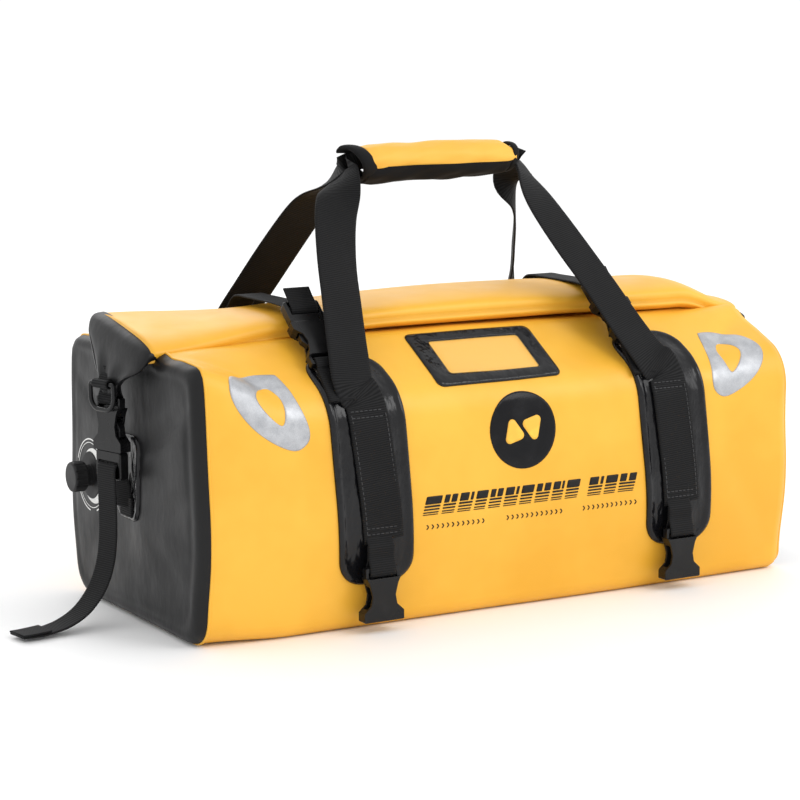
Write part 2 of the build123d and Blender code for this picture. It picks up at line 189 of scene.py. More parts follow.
def crease(x, s, start, end, depth, width):
    """A soft channel pressed along a straight line between two (x, s) points."""
    a, b = np.array(start), np.array(end)
    d = b - a
    t = ((x - a[0]) * d[0] + (s - a[1]) * d[1]) / (d @ d)
    inside = np.clip(t, 0, 1)
    off = np.hypot(x - a[0] - inside * d[0], s - a[1] - inside * d[1])
    return -depth * np.exp(-(off / width) ** 2) * np.sin(np.pi * np.clip(t * 0.8 + 0.1, 0, 1)) ** 0.5


# (x, s) of both ends of a crease, then its depth and width in millimetres
CREASES = (((0.286, 0.150), (0.225, 0.250), 1.6, 13), ((0.292, 0.395), (0.215, 0.330), 2.6, 9),
           ((0.296, 0.430), (0.200, 0.400), 2.2, 11), ((0.205, 0.165), (0.201, 0.330), 0.9, 8),
           ((0.110, 0.190), (0.112, 0.320), 0.8, 9))


def slack(x, s, side):
    """How far the filled fabric stands out of, or sinks into, its plain outline."""
    k = 1.0 if side < 0 else 1.7
    out = 1.5 * MM * np.sin(8.5 * x + 0.6 * k) * np.sin(9.0 * s + 1.1 * k)
    out += 0.9 * MM * np.sin(21 * x + 2.0 * k + 5 * s) * np.sin(24 * s + k)
    out += 0.35 * MM * np.sin(57 * x + 11 * s + k) * np.sin(41 * s + 17 * x)
    flat = smooth(0.100, 0.165, s)
    ends = smooth(0.205, 0.290, np.abs(x))
    out = out * flat * (1 - 0.4 * smooth(0.36, 0.44, s))
    out += ends * 6 * MM * bell(SHOULDER - 12 * MM, 46 * MM, s) * np.where(x > 0, 1.0, 0.3)
    for sx in (-1, 1):
        for start, end, depth, width in CREASES:
            out += crease(x * sx, s, start, end, depth * MM, width * MM)
    return out


def skin(x, s, side, lift=0.0):
    """Points on the body at x and arc length s, lift above it. side is -1 at the front, 1 at the back."""
    x, s = np.broadcast_arrays(np.asarray(x, float), np.asarray(s, float))
    step = 1.5 * MM
    a0, z0 = profile_at(np.clip(s - step, 0, PROFILE_LENGTH), x)
    a1, z1 = profile_at(np.clip(s + step, 0, PROFILE_LENGTH), x)
    length = np.hypot(a1 - a0, z1 - z0) + 1e-12
    na, nz = (z1 - z0) / length, -(a1 - a0) / length
    a, z = profile_at(s, x)
    h = slack(x, s, side) + lift
    return np.stack([x + 0 * a, side * (a + na * h), z + nz * h], axis=-1)


# ---------------------------------------------------------------- meshes
def make_object(name, vertices, faces, body, mat, slot=None, uvs=None, smooth_faces=True):
    mesh = bpy.data.meshes.new(name)
    mesh.from_pydata([tuple(map(float, v)) for v in vertices], [], [tuple(map(int, f)) for f in faces])
    if uvs is not None:
        layer = mesh.uv_layers.new(name="UVMap")
        for loop in mesh.loops:
            layer.data[loop.index].uv = uvs[loop.vertex_index]
    mesh.materials.append(mat)
    mesh.validate()
    mesh.update()
    obj = bpy.data.objects.new(name, mesh)
    bpy.context.scene.collection.objects.link(obj)
    recalc(mesh)
    if smooth_faces:
        mesh.shade_smooth()
    if body:
        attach(obj, body)
    return obj


def recalc(mesh):
    """Turns every face outwards."""
    bm = bmesh.new()
    bm.from_mesh(mesh)
    bmesh.ops.recalc_face_normals(bm, faces=bm.faces)
    bm.to_mesh(mesh)
    bm.free()


def grid_faces(rows, columns, closed=True, first_cap=False, last_cap=False):
    """Faces between rows of points. closed joins the last column to the first, and a cap fills an end row."""
    faces = []
    for i in range(rows - 1):
        for j in range(columns if closed else columns - 1):
            j2 = (j + 1) % columns
            faces.append((i * columns + j, i * columns + j2, (i + 1) * columns + j2, (i + 1) * columns + j))
    if first_cap:
        faces.append(tuple(range(columns)))
    if last_cap:
        faces.append(tuple(range((rows - 1) * columns, rows * columns)))
    return faces


def loft(name, sections, body, mat, slot=None):
    """A closed tube through equal-length closed sections, with both ends filled."""
    sections = np.array(sections)
    rows, columns = sections.shape[:2]
    return make_object(name, sections.reshape(-1, 3), grid_faces(rows, columns, True, True, True), body, mat, slot)


def ribbon(name, path, across, width, thickness, mat, body=None, samples=60, slot="webbing", shares=None):
    """A flat strap along a smooth path. across is the width direction at each point of the path, and shares is
    how much of the width shows there, where the webbing is bunched."""
    path, across = np.array(path, float), np.array(across, float)
    if across.ndim == 1:
        across = np.repeat(across[None], len(path), axis=0)
    shares = np.ones(len(path)) if shares is None else np.array(shares, float)
    both = spline(np.hstack([path, across * MM, shares[:, None] * MM]), samples)
    centre, wide, shares = both[:, :3], both[:, 3:6] / MM, both[:, 6] / MM
    run, _ = by_length(centre)
    along = np.gradient(centre, axis=0)
    along /= np.linalg.norm(along, axis=1)[:, None]
    wide -= along * np.sum(wide * along, axis=1)[:, None]
    wide /= np.linalg.norm(wide, axis=1)[:, None]
    up = np.cross(along, wide)
    w, t = width / 2, thickness / 2
    outline = [(-w, -0.35 * t), (-w, 0.35 * t), (-w + 0.9 * t, t), (-w + 3 * t, t), (0, t), (w - 3 * t, t),
               (w - 0.9 * t, t), (w, 0.35 * t), (w, -0.35 * t), (w - 0.9 * t, -t), (w - 3 * t, -t), (0, -t),
               (-w + 3 * t, -t), (-w + 0.9 * t, -t)]
    vertices, uvs = [], []
    for k in range(samples):
        for a, b in outline:
            vertices.append(centre[k] + wide[k] * a * shares[k] + up[k] * b)
            uvs.append((float(run[k]) * 10, (a + w) * 10))
    return make_object(name, vertices, grid_faces(samples, len(outline), True, True, True), body, mat, slot, uvs)


def tube(name, path, radius, mat, body, slot, samples=60, around=10, closed=False):
    """A round bead along a path."""
    if closed:
        path = list(path) + list(path[:1])
    centre = spline(path, samples)
    along = np.gradient(centre, axis=0)
    along /= np.linalg.norm(along, axis=1)[:, None]
    side = np.cross(along, np.array([0.31, 0.17, 0.93]))
    side /= np.linalg.norm(side, axis=1)[:, None]
    up = np.cross(along, side)
    turns = np.linspace(0, 2 * np.pi, around, endpoint=False)
    sections = [[c + radius * (math.cos(q) * a + math.sin(q) * b) for q in turns]
                for c, a, b in zip(centre, side, up)]
    return loft(name, sections, body, mat, slot)


# ---------------------------------------------------------------- flat outlines laid on a surface
def rounded_polygon(corners, arc_points=8):
    """A closed outline whose corners (a, b, radius) are arcs."""
    points = []
    for i, here in enumerate(corners):
        points.extend(rounded([corners[i - 1], here, corners[(i + 1) % len(corners)]], arc_points)[1:-1])
    return np.array(points)


def rectangle(cx, cy, width, height, radius):
    w, h = width / 2, height / 2
    return rounded_polygon([(cx - w, cy - h, radius), (cx + w, cy - h, radius), (cx + w, cy + h, radius),
                            (cx - w, cy + h, radius)])


def circle(cx, cy, radius, count=48):
    q = np.linspace(0, 2 * np.pi, count, endpoint=False)
    return np.stack([cx + radius * np.cos(q), cy + radius * np.sin(q)], axis=1)


def even(outline, count):
    """The closed outline as count evenly spaced points."""
    closed = np.vstack([outline, outline[:1]])
    run, total = by_length(closed)
    at = np.linspace(0, total, count, endpoint=False)
    return np.stack([np.interp(at, run, closed[:, k]) for k in (0, 1)], axis=1)


def applique(name, outer, place, heights, body, mat, slot=None, inner=None, count=96, bottom=-0.3):
    """A sheet laid on a surface. outer and inner are outlines in the surface's own two coordinates, heights
    gives (share of the way in, millimetres above it) pairs, and place(points, height) returns points in the
    frame."""
    outer = even(outer, count)
    if inner is None:
        middle = outer.mean(axis=0)
        inner_points = middle + (outer - middle) * 0.02
    else:
        inner_points = even(inner, count)
        angle = np.arctan2(*(outer[0] - inner_points.mean(axis=0))[::-1])
        angles = np.arctan2(*(inner_points - inner_points.mean(axis=0)).T[::-1])
        start = int(np.argmin(np.abs(np.angle(np.exp(1j * (angles - angle))))))
        inner_points = np.roll(inner_points, -start, axis=0)
    rings = [place(outer, bottom * MM)]
    rings += [place(outer + (inner_points - outer) * share, height * MM) for share, height in heights]
    if inner is not None:
        rings.append(place(inner_points, bottom * MM))
    faces = grid_faces(len(rings), count, last_cap=inner is None)
    return make_object(name, np.concatenate(rings), faces, body, mat, slot)


def on_side(side):
    """A placing function for points given as (x, arc length)."""
    return lambda points, height: skin(points[:, 0], points[:, 1], side, height)


def strap(name, path, across, samples, body=None):
    """A 25 mm webbing strap."""
    return ribbon(name, path, across, *NARROW, MAT["web"], body, samples)


def join(name, objects):
    """Joins meshes into the first one and renames it."""
    bpy.context.view_layer.update()
    for o in bpy.context.view_layer.objects:
        o.select_set(False)
    for o in objects:
        o.select_set(True)
    bpy.context.view_layer.objects.active = objects[0]
    bpy.ops.object.join()
    objects[0].name = objects[0].data.name = name
    return objects[0]


def join_trim(name, objects, replaced=None):
    """Joins meshes that belong to the bag, and hides the CAD node they stand for, if one is given."""
    made = join(name, objects)
    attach(made, "bag")
    if replaced:
        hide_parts(replaced)
    return made


# ---------------------------------------------------------------- materials
class Shade:
    """A node material in the making."""

    def __init__(self, name, color, rough, **inputs):
        self.mat = bpy.data.materials.new(name)
        self.mat.use_nodes = True
        self.mat.diffuse_color = (*color, 1)
        self.tree = self.mat.node_tree
        self.bsdf = self.tree.nodes["Principled BSDF"]
        self.bsdf.inputs["Base Color"].default_value = (*color, 1)
        self.bsdf.inputs["Roughness"].default_value = rough
        for key, value in inputs.items():
            self.bsdf.inputs[key.replace("_", " ")].default_value = value
        self.coords = self.node("ShaderNodeTexCoord").outputs["Object"]
        self.height = None

    def node(self, kind, settings=None, **inputs):
        n = self.tree.nodes.new(kind)
        for key, value in (settings or {}).items():
            setattr(n, key, value)
        for key, value in inputs.items():
            self.put(n.inputs[int(key[1:])] if key[0] == "_" else n.inputs[key.replace("_", " ")], value)
        return n

    def put(self, socket, value):
        if isinstance(value, bpy.types.NodeSocket):
            self.tree.links.new(value, socket)
        else:
            socket.default_value = value

    def math(self, operation, a, b=0.0):
        return self.node("ShaderNodeMath", {"operation": operation}, _0=a, _1=b).outputs[0]

    def noise(self, scale, detail=3.0, coords=None, roughness=0.5):
        return self.node("ShaderNodeTexNoise", Vector=coords or self.coords, Scale=scale, Detail=detail,
                         Roughness=roughness).outputs["Fac"]

    def ramp(self, value, low, high, out_low, out_high):
        return self.node("ShaderNodeMapRange", Value=value, From_Min=low, From_Max=high, To_Min=out_low,
                         To_Max=out_high).outputs["Result"]

    def mix(self, share, a, b):
        n = self.node("ShaderNodeMix", {"data_type": "RGBA"})
        self.put(n.inputs["Factor"], share)
        self.put(n.inputs["A"], (*a, 1) if isinstance(a, tuple) and len(a) == 3 else a)
        self.put(n.inputs["B"], (*b, 1) if isinstance(b, tuple) and len(b) == 3 else b)
        return n.outputs["Result"]

    def color(self, socket):
        self.put(self.bsdf.inputs["Base Color"], socket)

    def rough(self, socket):
        self.put(self.bsdf.inputs["Roughness"], socket)

    def bump(self, height, distance, strength=1.0):
        n = self.node("ShaderNodeBump", Height=height, Distance=distance, Strength=strength)
        if self.height is not None:
            self.put(n.inputs["Normal"], self.height)
        self.height = n.outputs["Normal"]
        self.put(self.bsdf.inputs["Normal"], self.height)


def stretched(shade, x, y, z, source=None):
    return shade.node("ShaderNodeVectorMath", {"operation": "MULTIPLY"}, _0=source or shade.coords,
                      _1=(x, y, z)).outputs["Vector"]


def waves(shade, coords, scale, direction):
    return shade.node("ShaderNodeTexWave", {"wave_type": "BANDS", "bands_direction": direction,
                                            "wave_profile": "SIN"},
                      Vector=coords, Scale=scale, Distortion=0.0).outputs["Fac"]


def tarpaulin(name, light, dark, rough, grain=0.6, crinkle=0.0, **inputs):
    """Coated fabric: a smooth film with the woven scrim just showing through it."""
    m = Shade(name, light, rough, **inputs)
    broad = m.noise(5.5, 4, roughness=0.62)
    fine = m.noise(220, 3)
    m.color(m.mix(m.ramp(broad, 0.38, 0.62, 0, 1), light, dark))
    m.rough(m.ramp(m.noise(26, 4), 0.3, 0.75, rough - 0.07, rough + 0.08))
    threads = [waves(m, m.coords, 330, direction) for direction in "XZ"]
    m.bump(m.math("ADD", *threads), 0.00003 * grain, 0.5)
    m.bump(m.noise(8, 2), 0.0070, 0.24)
    m.bump(m.noise(42, 3), 0.0011, 0.16)
    if crinkle:
        m.bump(m.noise(60, 3, stretched(m, 1.0, 0.7, 0.40)), 0.0045 * crinkle, 0.55)
    m.bump(fine, 0.00006, 0.5)
    return m.mat


def woven(name, light, dark, pitch=0.95):
    """Webbing: rounded ribs running across, broken into a twill. Reads the strap's own UV."""
    m = Shade(name, light, 0.72, Sheen_Weight=0.05, Sheen_Roughness=0.5, Specular_IOR_Level=0.22)
    m.bsdf.inputs["Sheen Tint"].default_value = (0.35, 0.35, 0.36, 1)
    uv = m.node("ShaderNodeTexCoord").outputs["UV"]
    scale = 16 / pitch
    ribs = waves(m, stretched(m, 1, 0.55, 0, uv), scale, "X")
    cross = waves(m, stretched(m, 1, -0.55, 0, uv), scale, "X")
    yarn = m.math("MAXIMUM", ribs, cross)
    m.bump(yarn, 0.00030, 0.55)
    m.bump(m.noise(900, 2), 0.0001, 0.4)
    worn = m.ramp(m.noise(30, 4), 0.45, 0.8, 0, 0.5)
    m.color(m.mix(m.math("ADD", m.math("MULTIPLY", yarn, 0.5), worn), dark, light))
    m.rough(m.ramp(yarn, 0, 1, 0.85, 0.62))
    return m.mat


def moulded(name, color, rough, grain=1.0, **inputs):
    """Moulded plastic with a fine spark-eroded texture and slightly polished high spots."""
    m = Shade(name, color, rough, **inputs)
    pale = tuple(min(1, c * 1.7 + 0.01) for c in color)
    m.color(m.mix(m.ramp(m.noise(60, 5), 0.5, 0.8, 0, 0.5), color, pale))
    m.rough(m.ramp(m.noise(35, 3), 0.3, 0.7, rough - 0.06, rough + 0.08))
    m.bump(m.noise(1500, 2), 0.00006 * grain, 0.6)
    return m.mat


YELLOW = (0.86, 0.455, 0.042)
YELLOW_DARK = (0.77, 0.385, 0.024)
MAT = {
    "yellow": tarpaulin("yellow_tarpaulin", YELLOW, YELLOW_DARK, 0.42, Specular_IOR_Level=0.42),
    "black": tarpaulin("black_tarpaulin", (0.0085, 0.0085, 0.009), (0.0055, 0.0055, 0.006), 0.42, crinkle=0.35,
    Specular_IOR_Level=0.24),
    "patch": tarpaulin("welded_patch", (0.007, 0.007, 0.008), (0.004, 0.004, 0.005), 0.17, grain=0.8, crinkle=1.25,
    Specular_IOR_Level=0.30),
    "web": woven("webbing_weave", (0.0065, 0.0065, 0.007), (0.002, 0.002, 0.0024)),
    "grip": tarpaulin("grip_fabric", (0.86, 0.47, 0.055), (0.80, 0.41, 0.04), 0.55, grain=3.0),
    "binding": woven("binding_weave", (0.009, 0.009, 0.010), (0.003, 0.003, 0.0035), pitch=0.8),
    "lining": woven("grip_lining_weave", (0.009, 0.009, 0.010), (0.003, 0.003, 0.0035), pitch=0.8),
    "buckle": moulded("buckle_acetal", (0.005, 0.005, 0.0055), 0.28, Specular_IOR_Level=0.28),
    "valve": moulded("valve_nylon", (0.007, 0.007, 0.0075), 0.5, grain=2.0, Specular_IOR_Level=0.28),
    "rubber": moulded("seal_rubber", (0.012, 0.012, 0.012), 0.75),
    "thread": moulded("thread", (0.03, 0.03, 0.032), 0.6, grain=3.0),
    "emblem": moulded("emblem_film", (0.003, 0.003, 0.004), 0.16, Specular_IOR_Level=0.20),
    "emblem_mark": moulded("emblem_mark", YELLOW, 0.45),
    "white": moulded("white_print", (0.80, 0.80, 0.78), 0.5),
    "ink": moulded("black_print", (0.007, 0.006, 0.005), 0.5, Specular_IOR_Level=0.25),
}


def reflective_material():
    """Silver retro-reflective transfer: fine glass beads, slightly cloudy."""
    m = Shade("reflective_silver", (0.46, 0.47, 0.50), 0.38, Metallic=0.35)
    beads = m.noise(1400, 2)
    cloud = m.noise(95, 5)
    tone = m.math("ADD", m.math("MULTIPLY", beads, 0.5), m.math("MULTIPLY", cloud, 0.6))
    m.color(m.mix(m.ramp(tone, 0.35, 0.75, 0, 1), (0.30, 0.31, 0.33), (0.52, 0.53, 0.55)))
    m.bump(beads, 0.00008, 0.8)
    return m.mat


def window_material():
    """Clear flexible film over the yellow fabric."""
    m = Shade("window_film", (1.0, 0.93, 0.70), 0.10, Alpha=0.10)
    m.bump(m.noise(35, 3), 0.0010, 0.25)
    return m.mat


MAT["reflective"] = reflective_material()
MAT["window"] = window_material()


# ---------------------------------------------------------------- fabric body
def end_ring(turn, side_x, s, side):
    """Points on the rounded edge of an end, turn from 0 on the side wall to 90 degrees on the end face."""
    t = math.radians(turn)
    points = skin(np.full_like(s, side_x * (HALF_LENGTH - END_ROUND)), s, side)
    inward = END_ROUND * (1 - math.cos(t))
    points[:, 0] += side_x * END_ROUND * math.sin(t)
    flat = points[:, 1:] - END_CENTRE
    reach = np.linalg.norm(flat, axis=1)[:, None]
    points[:, 1:] = END_CENTRE + flat * (1 - inward / reach)
    return points


S_ROW = np.linspace(0, PROFILE_LENGTH, 84)
SEAM_TURN = {-1: 12, 1: 66}       # where black meets yellow on the rounded edge of each end, degrees


def whole_ring(make):
    """Front half from base to top, then the back half from top to base, as one closed ring."""
    return np.vstack([make(S_ROW, -1), make(S_ROW[1:-1][::-1], 1)])


def end_loop(turn, side_x):
    return whole_ring(lambda s, side: end_ring(turn, side_x, s, side))


def make_body():
    inner, middle = HALF_LENGTH - END_ROUND, 0.2       # evenly spaced up to middle, closer towards the ends
    stations = np.concatenate([
        -inner + (inner - middle) * (1 - np.cos(np.linspace(0, np.pi / 2, 26))),
        np.linspace(-middle, middle, 74)[1:-1],
        inner - (inner - middle) * (1 - np.sin(np.linspace(0, np.pi / 2, 26))),
    ])
    rings = [end_loop(t * SEAM_TURN[-1], -1) for t in (1, 0.6, 0.25)]
    rings += [whole_ring(lambda s, side, x=x: skin(np.full_like(s, x), s, side)) for x in stations]
    rings += [end_loop(t * SEAM_TURN[1], 1) for t in (0.25, 0.5, 0.75, 1)]
    shell = make_object("body_fabric", np.concatenate(rings), grid_faces(len(rings), len(rings[0])), "bag",
                        MAT["yellow"], "yellow_shell")
    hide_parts("body_shell")


# (y, z) of both ends of a fold in an end panel, then its depth and width in millimetres
FOLDS = ((-0.118, 0.200, -0.030, 0.150, 2.6, 8), (0.112, 0.200, 0.030, 0.158, 2.2, 9),
         (-0.122, 0.120, -0.045, 0.104, 1.4, 9), (-0.110, 0.040, -0.050, 0.075, 1.5, 12),
         (0.100, 0.040, 0.045, 0.080, 1.3, 12))


def end_dents(y, z, side_x):
    """How far the end face stands out, with its broad hollows and folds."""
    k = 1.0 if side_x < 0 else 2.3
    out = 3.4 * MM * np.cos(np.clip(y / 0.16, -1, 1) * np.pi / 2) * np.sin(np.clip(z / TOP, 0, 1) * np.pi)
    out += 1.1 * MM * np.sin(22 * y + k) * np.sin(19 * z + 2 * k)
    out += 0.5 * MM * np.sin(47 * y + 31 * z + k)
    for y0, z0, y1, z1, depth, width in FOLDS:
        d = np.array([y1 - y0, z1 - z0])
        t = np.clip(((y - y0) * d[0] + (z - z0) * d[1]) / (d @ d), 0, 1)
        off = np.hypot(y - y0 - t * d[0], z - z0 - t * d[1])
        out -= depth * MM * np.exp(-(off / (width * MM)) ** 2) * np.sin(np.pi * (0.12 + 0.76 * t))
    out += 1.8 * MM * bell(0.085, 0.020, z) * bell(-0.060, 0.045, y)
    return out


def face_x(y, z, side_x):
    """x of the end panel's face at (y, z)."""
    edge = 1 - smooth(0.90, 1.0, edge_share(y, z))
    return side_x * (HALF_LENGTH - PANEL_SINK + end_dents(y, z, side_x) * edge)


def edge_share(y, z):
    """0 at the middle of an end panel, 1 at its outline."""
    y, up = np.asarray(y), np.asarray(z) - END_CENTRE[1]
    outline_up = PROFILE[:, 1] - END_CENTRE[1]
    outline_angle = np.arctan2(outline_up, PROFILE[:, 0] + 1e-9)
    outline_reach = np.hypot(PROFILE[:, 0], outline_up) - END_ROUND
    return np.hypot(y, up) / np.interp(np.arctan2(up, np.abs(y) + 1e-9), outline_angle, outline_reach)


def make_end_panel(side_x, name):
    turns = SEAM_TURN[side_x] + (88 - SEAM_TURN[side_x]) * np.linspace(-0.03, 1, 9)
    rings = [end_loop(t, side_x) for t in turns]
    rim = end_loop(90, side_x)
    for share in np.concatenate([np.linspace(0.985, 0.90, 6), np.linspace(0.87, 0.03, 30)]):
        ring = rim.copy()
        ring[:, 1:] = END_CENTRE + (rim[:, 1:] - END_CENTRE) * share
        lift = end_dents(ring[:, 1], ring[:, 2], side_x) * (1 - smooth(0.90, 1.0, share))
        ring[:, 0] = side_x * (HALF_LENGTH - PANEL_SINK * smooth(0, 0.06, 1 - share) + lift)
        rings.append(ring)
    panel = make_object(name, np.concatenate(rings), grid_faces(len(rings), len(rim), last_cap=True), "bag",
                        MAT["black"], "black_shell")
    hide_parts(name.replace("_fabric", ""))


def make_seam(side_x, name):
    """The welded bead that runs round an end, just outside the join of the two colours."""
    ring = end_loop(SEAM_TURN[side_x] - 6, side_x)
    out = ring - np.array([0, *END_CENTRE])
    ring = ring + out / np.linalg.norm(out, axis=1)[:, None] * 0.1 * MM
    tube(name, ring[::2], 1.25 * MM, MAT["yellow"], "bag", "yellow_shell", samples=420, around=8, closed=True)


make_body()
make_end_panel(-1, "end_panel_left_fabric")
make_end_panel(1, "end_panel_right_fabric")
make_seam(-1, "end_seam_left")
make_seam(1, "end_seam_right")


# ---------------------------------------------------------------- rolled closure
ROLL_Y = ROLL_HIGH.y
ROLL_MID, ROLL_HALF = (ROLL_LOW.z + ROLL_HIGH.z) / 2, (ROLL_HIGH.z - ROLL_LOW.z) / 2
ROLL_END = ROLL_HIGH.x


def roll_tilt(x):
    """Slope of the roll across the bag: its left end is pulled down at the front."""
    return 0.19 * float(smooth(0.17, 0.30, -x))


def roll_section(x, count=72):
    """The flattened roll's outline at x: a soft lip in front, where the last turn is tucked in."""
    q = np.linspace(0, 2 * np.pi, count, endpoint=False)
    c, s = np.cos(q), np.sin(q)
    sag = 1.0 * MM * np.sin(11 * x + 0.8) + 0.7 * MM * np.sin(27 * x + 1.4)
    thin = 1 - 0.22 * smooth(0.20, 0.30, -x) - 0.30 * smooth(0.235, 0.30, x)
    drop = 7.5 * MM * smooth(0.06, 0.25, -x) + 3 * MM * smooth(0.10, 0.22, x) + 17 * MM * smooth(0.235, 0.302, x)
    y = -(ROLL_Y + 1.2 * MM * np.sin(14 * x)) * np.sign(c) * np.abs(c) ** 0.62
    z = ROLL_MID - drop + (ROLL_HALF + 0.6 * MM) * thin * np.sign(s) * np.abs(s) ** 0.62
    z += 2.4 * MM * np.cos(y / ROLL_Y * np.pi / 2) * (s > 0) + sag * (s > 0) * 0.8 + roll_tilt(x) * y
    z += 1.0 * MM * np.sin(9 * x + y * 30) * (s > 0)
    lip = bell(-ROLL_Y * 0.86, 9 * MM, y) * (s < 0)
    z -= 1.6 * MM * lip
    tuck = bell(ROLL_MID - drop - 3 * MM, 1.7 * MM, z - roll_tilt(x) * y) * (c > 0.4)
    y += 2.6 * MM * tuck
    return np.stack([np.full(count, x), y, z], axis=1)


def make_roll():
    stations = np.linspace(-ROLL_END - 20 * MM, ROLL_END + 18 * MM, 130)
    roll = loft("roll_fabric", [roll_section(x) for x in stations], "bag", MAT["yellow"], "yellow_shell")
    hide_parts("roll_top", "roll_stiffeners")


def make_roll_end(side_x, name):
    """The gusset: the roll's black end, flattened, folded over the edge of the bag and drawn down to a tab."""
    top = ROLL_MID - (7.5 if side_x < 0 else 20) * MM
    path = [(-0.2985, top + 0.5 * MM, 0.0565, 0.0088, 0.0),
            (-0.3050, top - 1 * MM, 0.0580, 0.0078, 0.0),
            (-0.3100, top - 8 * MM, 0.0550, 0.0056, -0.001),
            (-0.3130, top - 19 * MM, 0.0440, 0.0044, -0.003),
            (-0.3155, top - 30 * MM, 0.0300, 0.0040, -0.003),
            (-0.3160, top - 39 * MM, 0.0185, 0.0036, 0.000),
            (-0.3160, ROLL_MID - 55 * MM, 0.0125, 0.0034, 0.003)]
    if side_x > 0:
        path[:2] = [(-0.3000, top - 1 * MM, 0.0500, 0.0050, 0.0), (-0.3055, top - 3.5 * MM, 0.0530, 0.0050, 0.0)]
    line = spline(path, 40)
    along = np.gradient(line[:, :2], axis=0)
    along /= np.linalg.norm(along, axis=1)[:, None]
    q = np.linspace(0, 2 * np.pi, 56, endpoint=False)
    c, s = np.cos(q), np.sin(q)

    def tilt(k):
        """Slope across the bag, carried over from the roll and lost further down."""
        return roll_tilt(-0.3) * (1 - float(smooth(0.25, 0.85, k / len(line)))) if side_x < 0 else 0.0

    sections = []
    for k, (x, z, half, thick, shift) in enumerate(line):
        y = -half * np.sign(c) * np.abs(c) ** 0.66 + shift
        t = thick * np.sign(s) * np.abs(s) ** 0.66
        drawn = smooth(0.15, 0.8, k / len(line))
        t += drawn * (2.0 * MM * np.sin(y / max(half, 1e-6) * 7.5 + 0.8) * np.sin(np.pi * k / len(line)))
        t -= drawn * 2.8 * MM * bell(0.30 * half, 0.16 * half, y) * (s < 0)
        ring = np.stack([x - along[k, 1] * t, y, z + along[k, 0] * t + tilt(k) * y], axis=1)
        ring[:, 0] *= -side_x
        sections.append(ring)
    end = loft(name, sections, "bag", MAT["black"], "black_shell")
    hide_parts(name.replace("_fabric", ""))
    rim = []
    for k in range(6, len(line) - 2, 3):
        x, z, half, _, shift = line[k]
        y = half + shift - 2.2 * MM
        rim.append((side_x * (abs(x) + 0.6 * MM), y, z + tilt(k) * y))
    tube(name.replace("_fabric", "_rim"), rim, 2.3 * MM, MAT["patch"], "bag", "black_shell", samples=40)


make_roll()
make_roll_end(-1, "roll_end_left_fabric")
make_roll_end(1, "roll_end_right_fabric")


# ---------------------------------------------------------------- welded patches
def make_patches(side, name):
    made = []
    low, high = run_at_height(PATCH_LOW.z), run_at_height(PATCH_HIGH.z)
    heights = [(0, 1.0), (0.025, 2.4), (0.07, 3.3), (0.12, 3.2), (0.16, 2.4), (0.20, 1.8), (0.26, 1.7), (0.45, 1.9),
               (0.7, 2.0), (1, 2.0)]
    for sx in (-1, 1):
        middle = (low + high) / 2
        outline = np.array(rectangle(PATCH_X[sx], middle, 2 * PATCH_HALF, high - low, 22 * MM))
        outline[:, 0] -= PATCH_LEAN * (outline[:, 1] - middle) / (high - middle)
        made.append(long_applique(f"{name}_{sx}", outline, on_side(side), heights, MAT["patch"]))
    join_trim(f"{name}_welded", made, name)


def long_applique(name, outline, place, heights, mat, count=150):
    """A raised sheet longer than it is wide: its rings step in by a share of its half width. heights gives
    (share, millimetres) pairs."""
    outer = even(outline, count)
    centre = outer.mean(axis=0)
    half = (outer.max(axis=0) - outer.min(axis=0)) / 2
    rings = [place(outer, -0.4 * MM)]
    for share, height in heights:
        rings.append(place(centre + (outer - centre) * (1 - share * min(half) / half), height * MM))
    return make_object(name, np.concatenate(rings), grid_faces(len(rings), count), None, mat)


make_patches(-1, "front_patches")
make_patches(1, "rear_patches")


# ---------------------------------------------------------------- carry handles
def hinge_point(joint):
    return np.array(JOINTS[joint]["pos_m"], float)


def make_handle(side, name, nodes, joint, grip_y, grip_z):
    pieces = []
    for sx in (-1, 1):
        bows, twist = LEGS[side, sx]
        path, wide = leg_path(side, sx, joint, grip_y, grip_z, bows, twist)
        shares = [1.0] * (len(path) - len(BUNCHED)) + BUNCHED
        pieces.append(ribbon(f"{name}_{sx}", path, wide, *WEBBING, MAT["web"], samples=150, shares=shares))
    web = join(name, pieces)
    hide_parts(*nodes)
    hinge = hinge_point(joint)
    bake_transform(web)


BUNCHED = [0.94, 0.68, 0.44, 0.42, 0.44, 0.44]         # how much of the webbing's width shows inside the wrap
# how far up its leg each bow stands; then for each leg its bows in millimetres along x and its twist in radians
LEG_STEPS = (0.05, 0.20, 0.40, 0.60, 0.80, 0.93, 1.0)
LEGS = {(-1, -1): ((-16, -19, -21, -22, -18, -8, 0), 0.10), (-1, 1): ((-14, -15, -13, -12, -9, -3, 0), 0.10),
        (1, -1): ((-12, -20, -17, -14, -10, -5, 0), -0.25), (1, 1): ((-8, -6, 2, 6, 6, 3, 0), 1.02)}
WEB_RUN = (run_at_height(WEB_LOW.z), run_at_height(WEB_HIGH.z - 2 * MM))


def anchor_x(side, sx, s):
    """The sewn webbing's place along the bag, leaning towards where its leg goes."""
    share = (s - WEB_RUN[0]) / (WEB_RUN[1] - WEB_RUN[0])
    return HANDLE_X[sx] + LEGS[side, sx][0][0] * 0.5 * MM * (1.5 * share - 0.7)


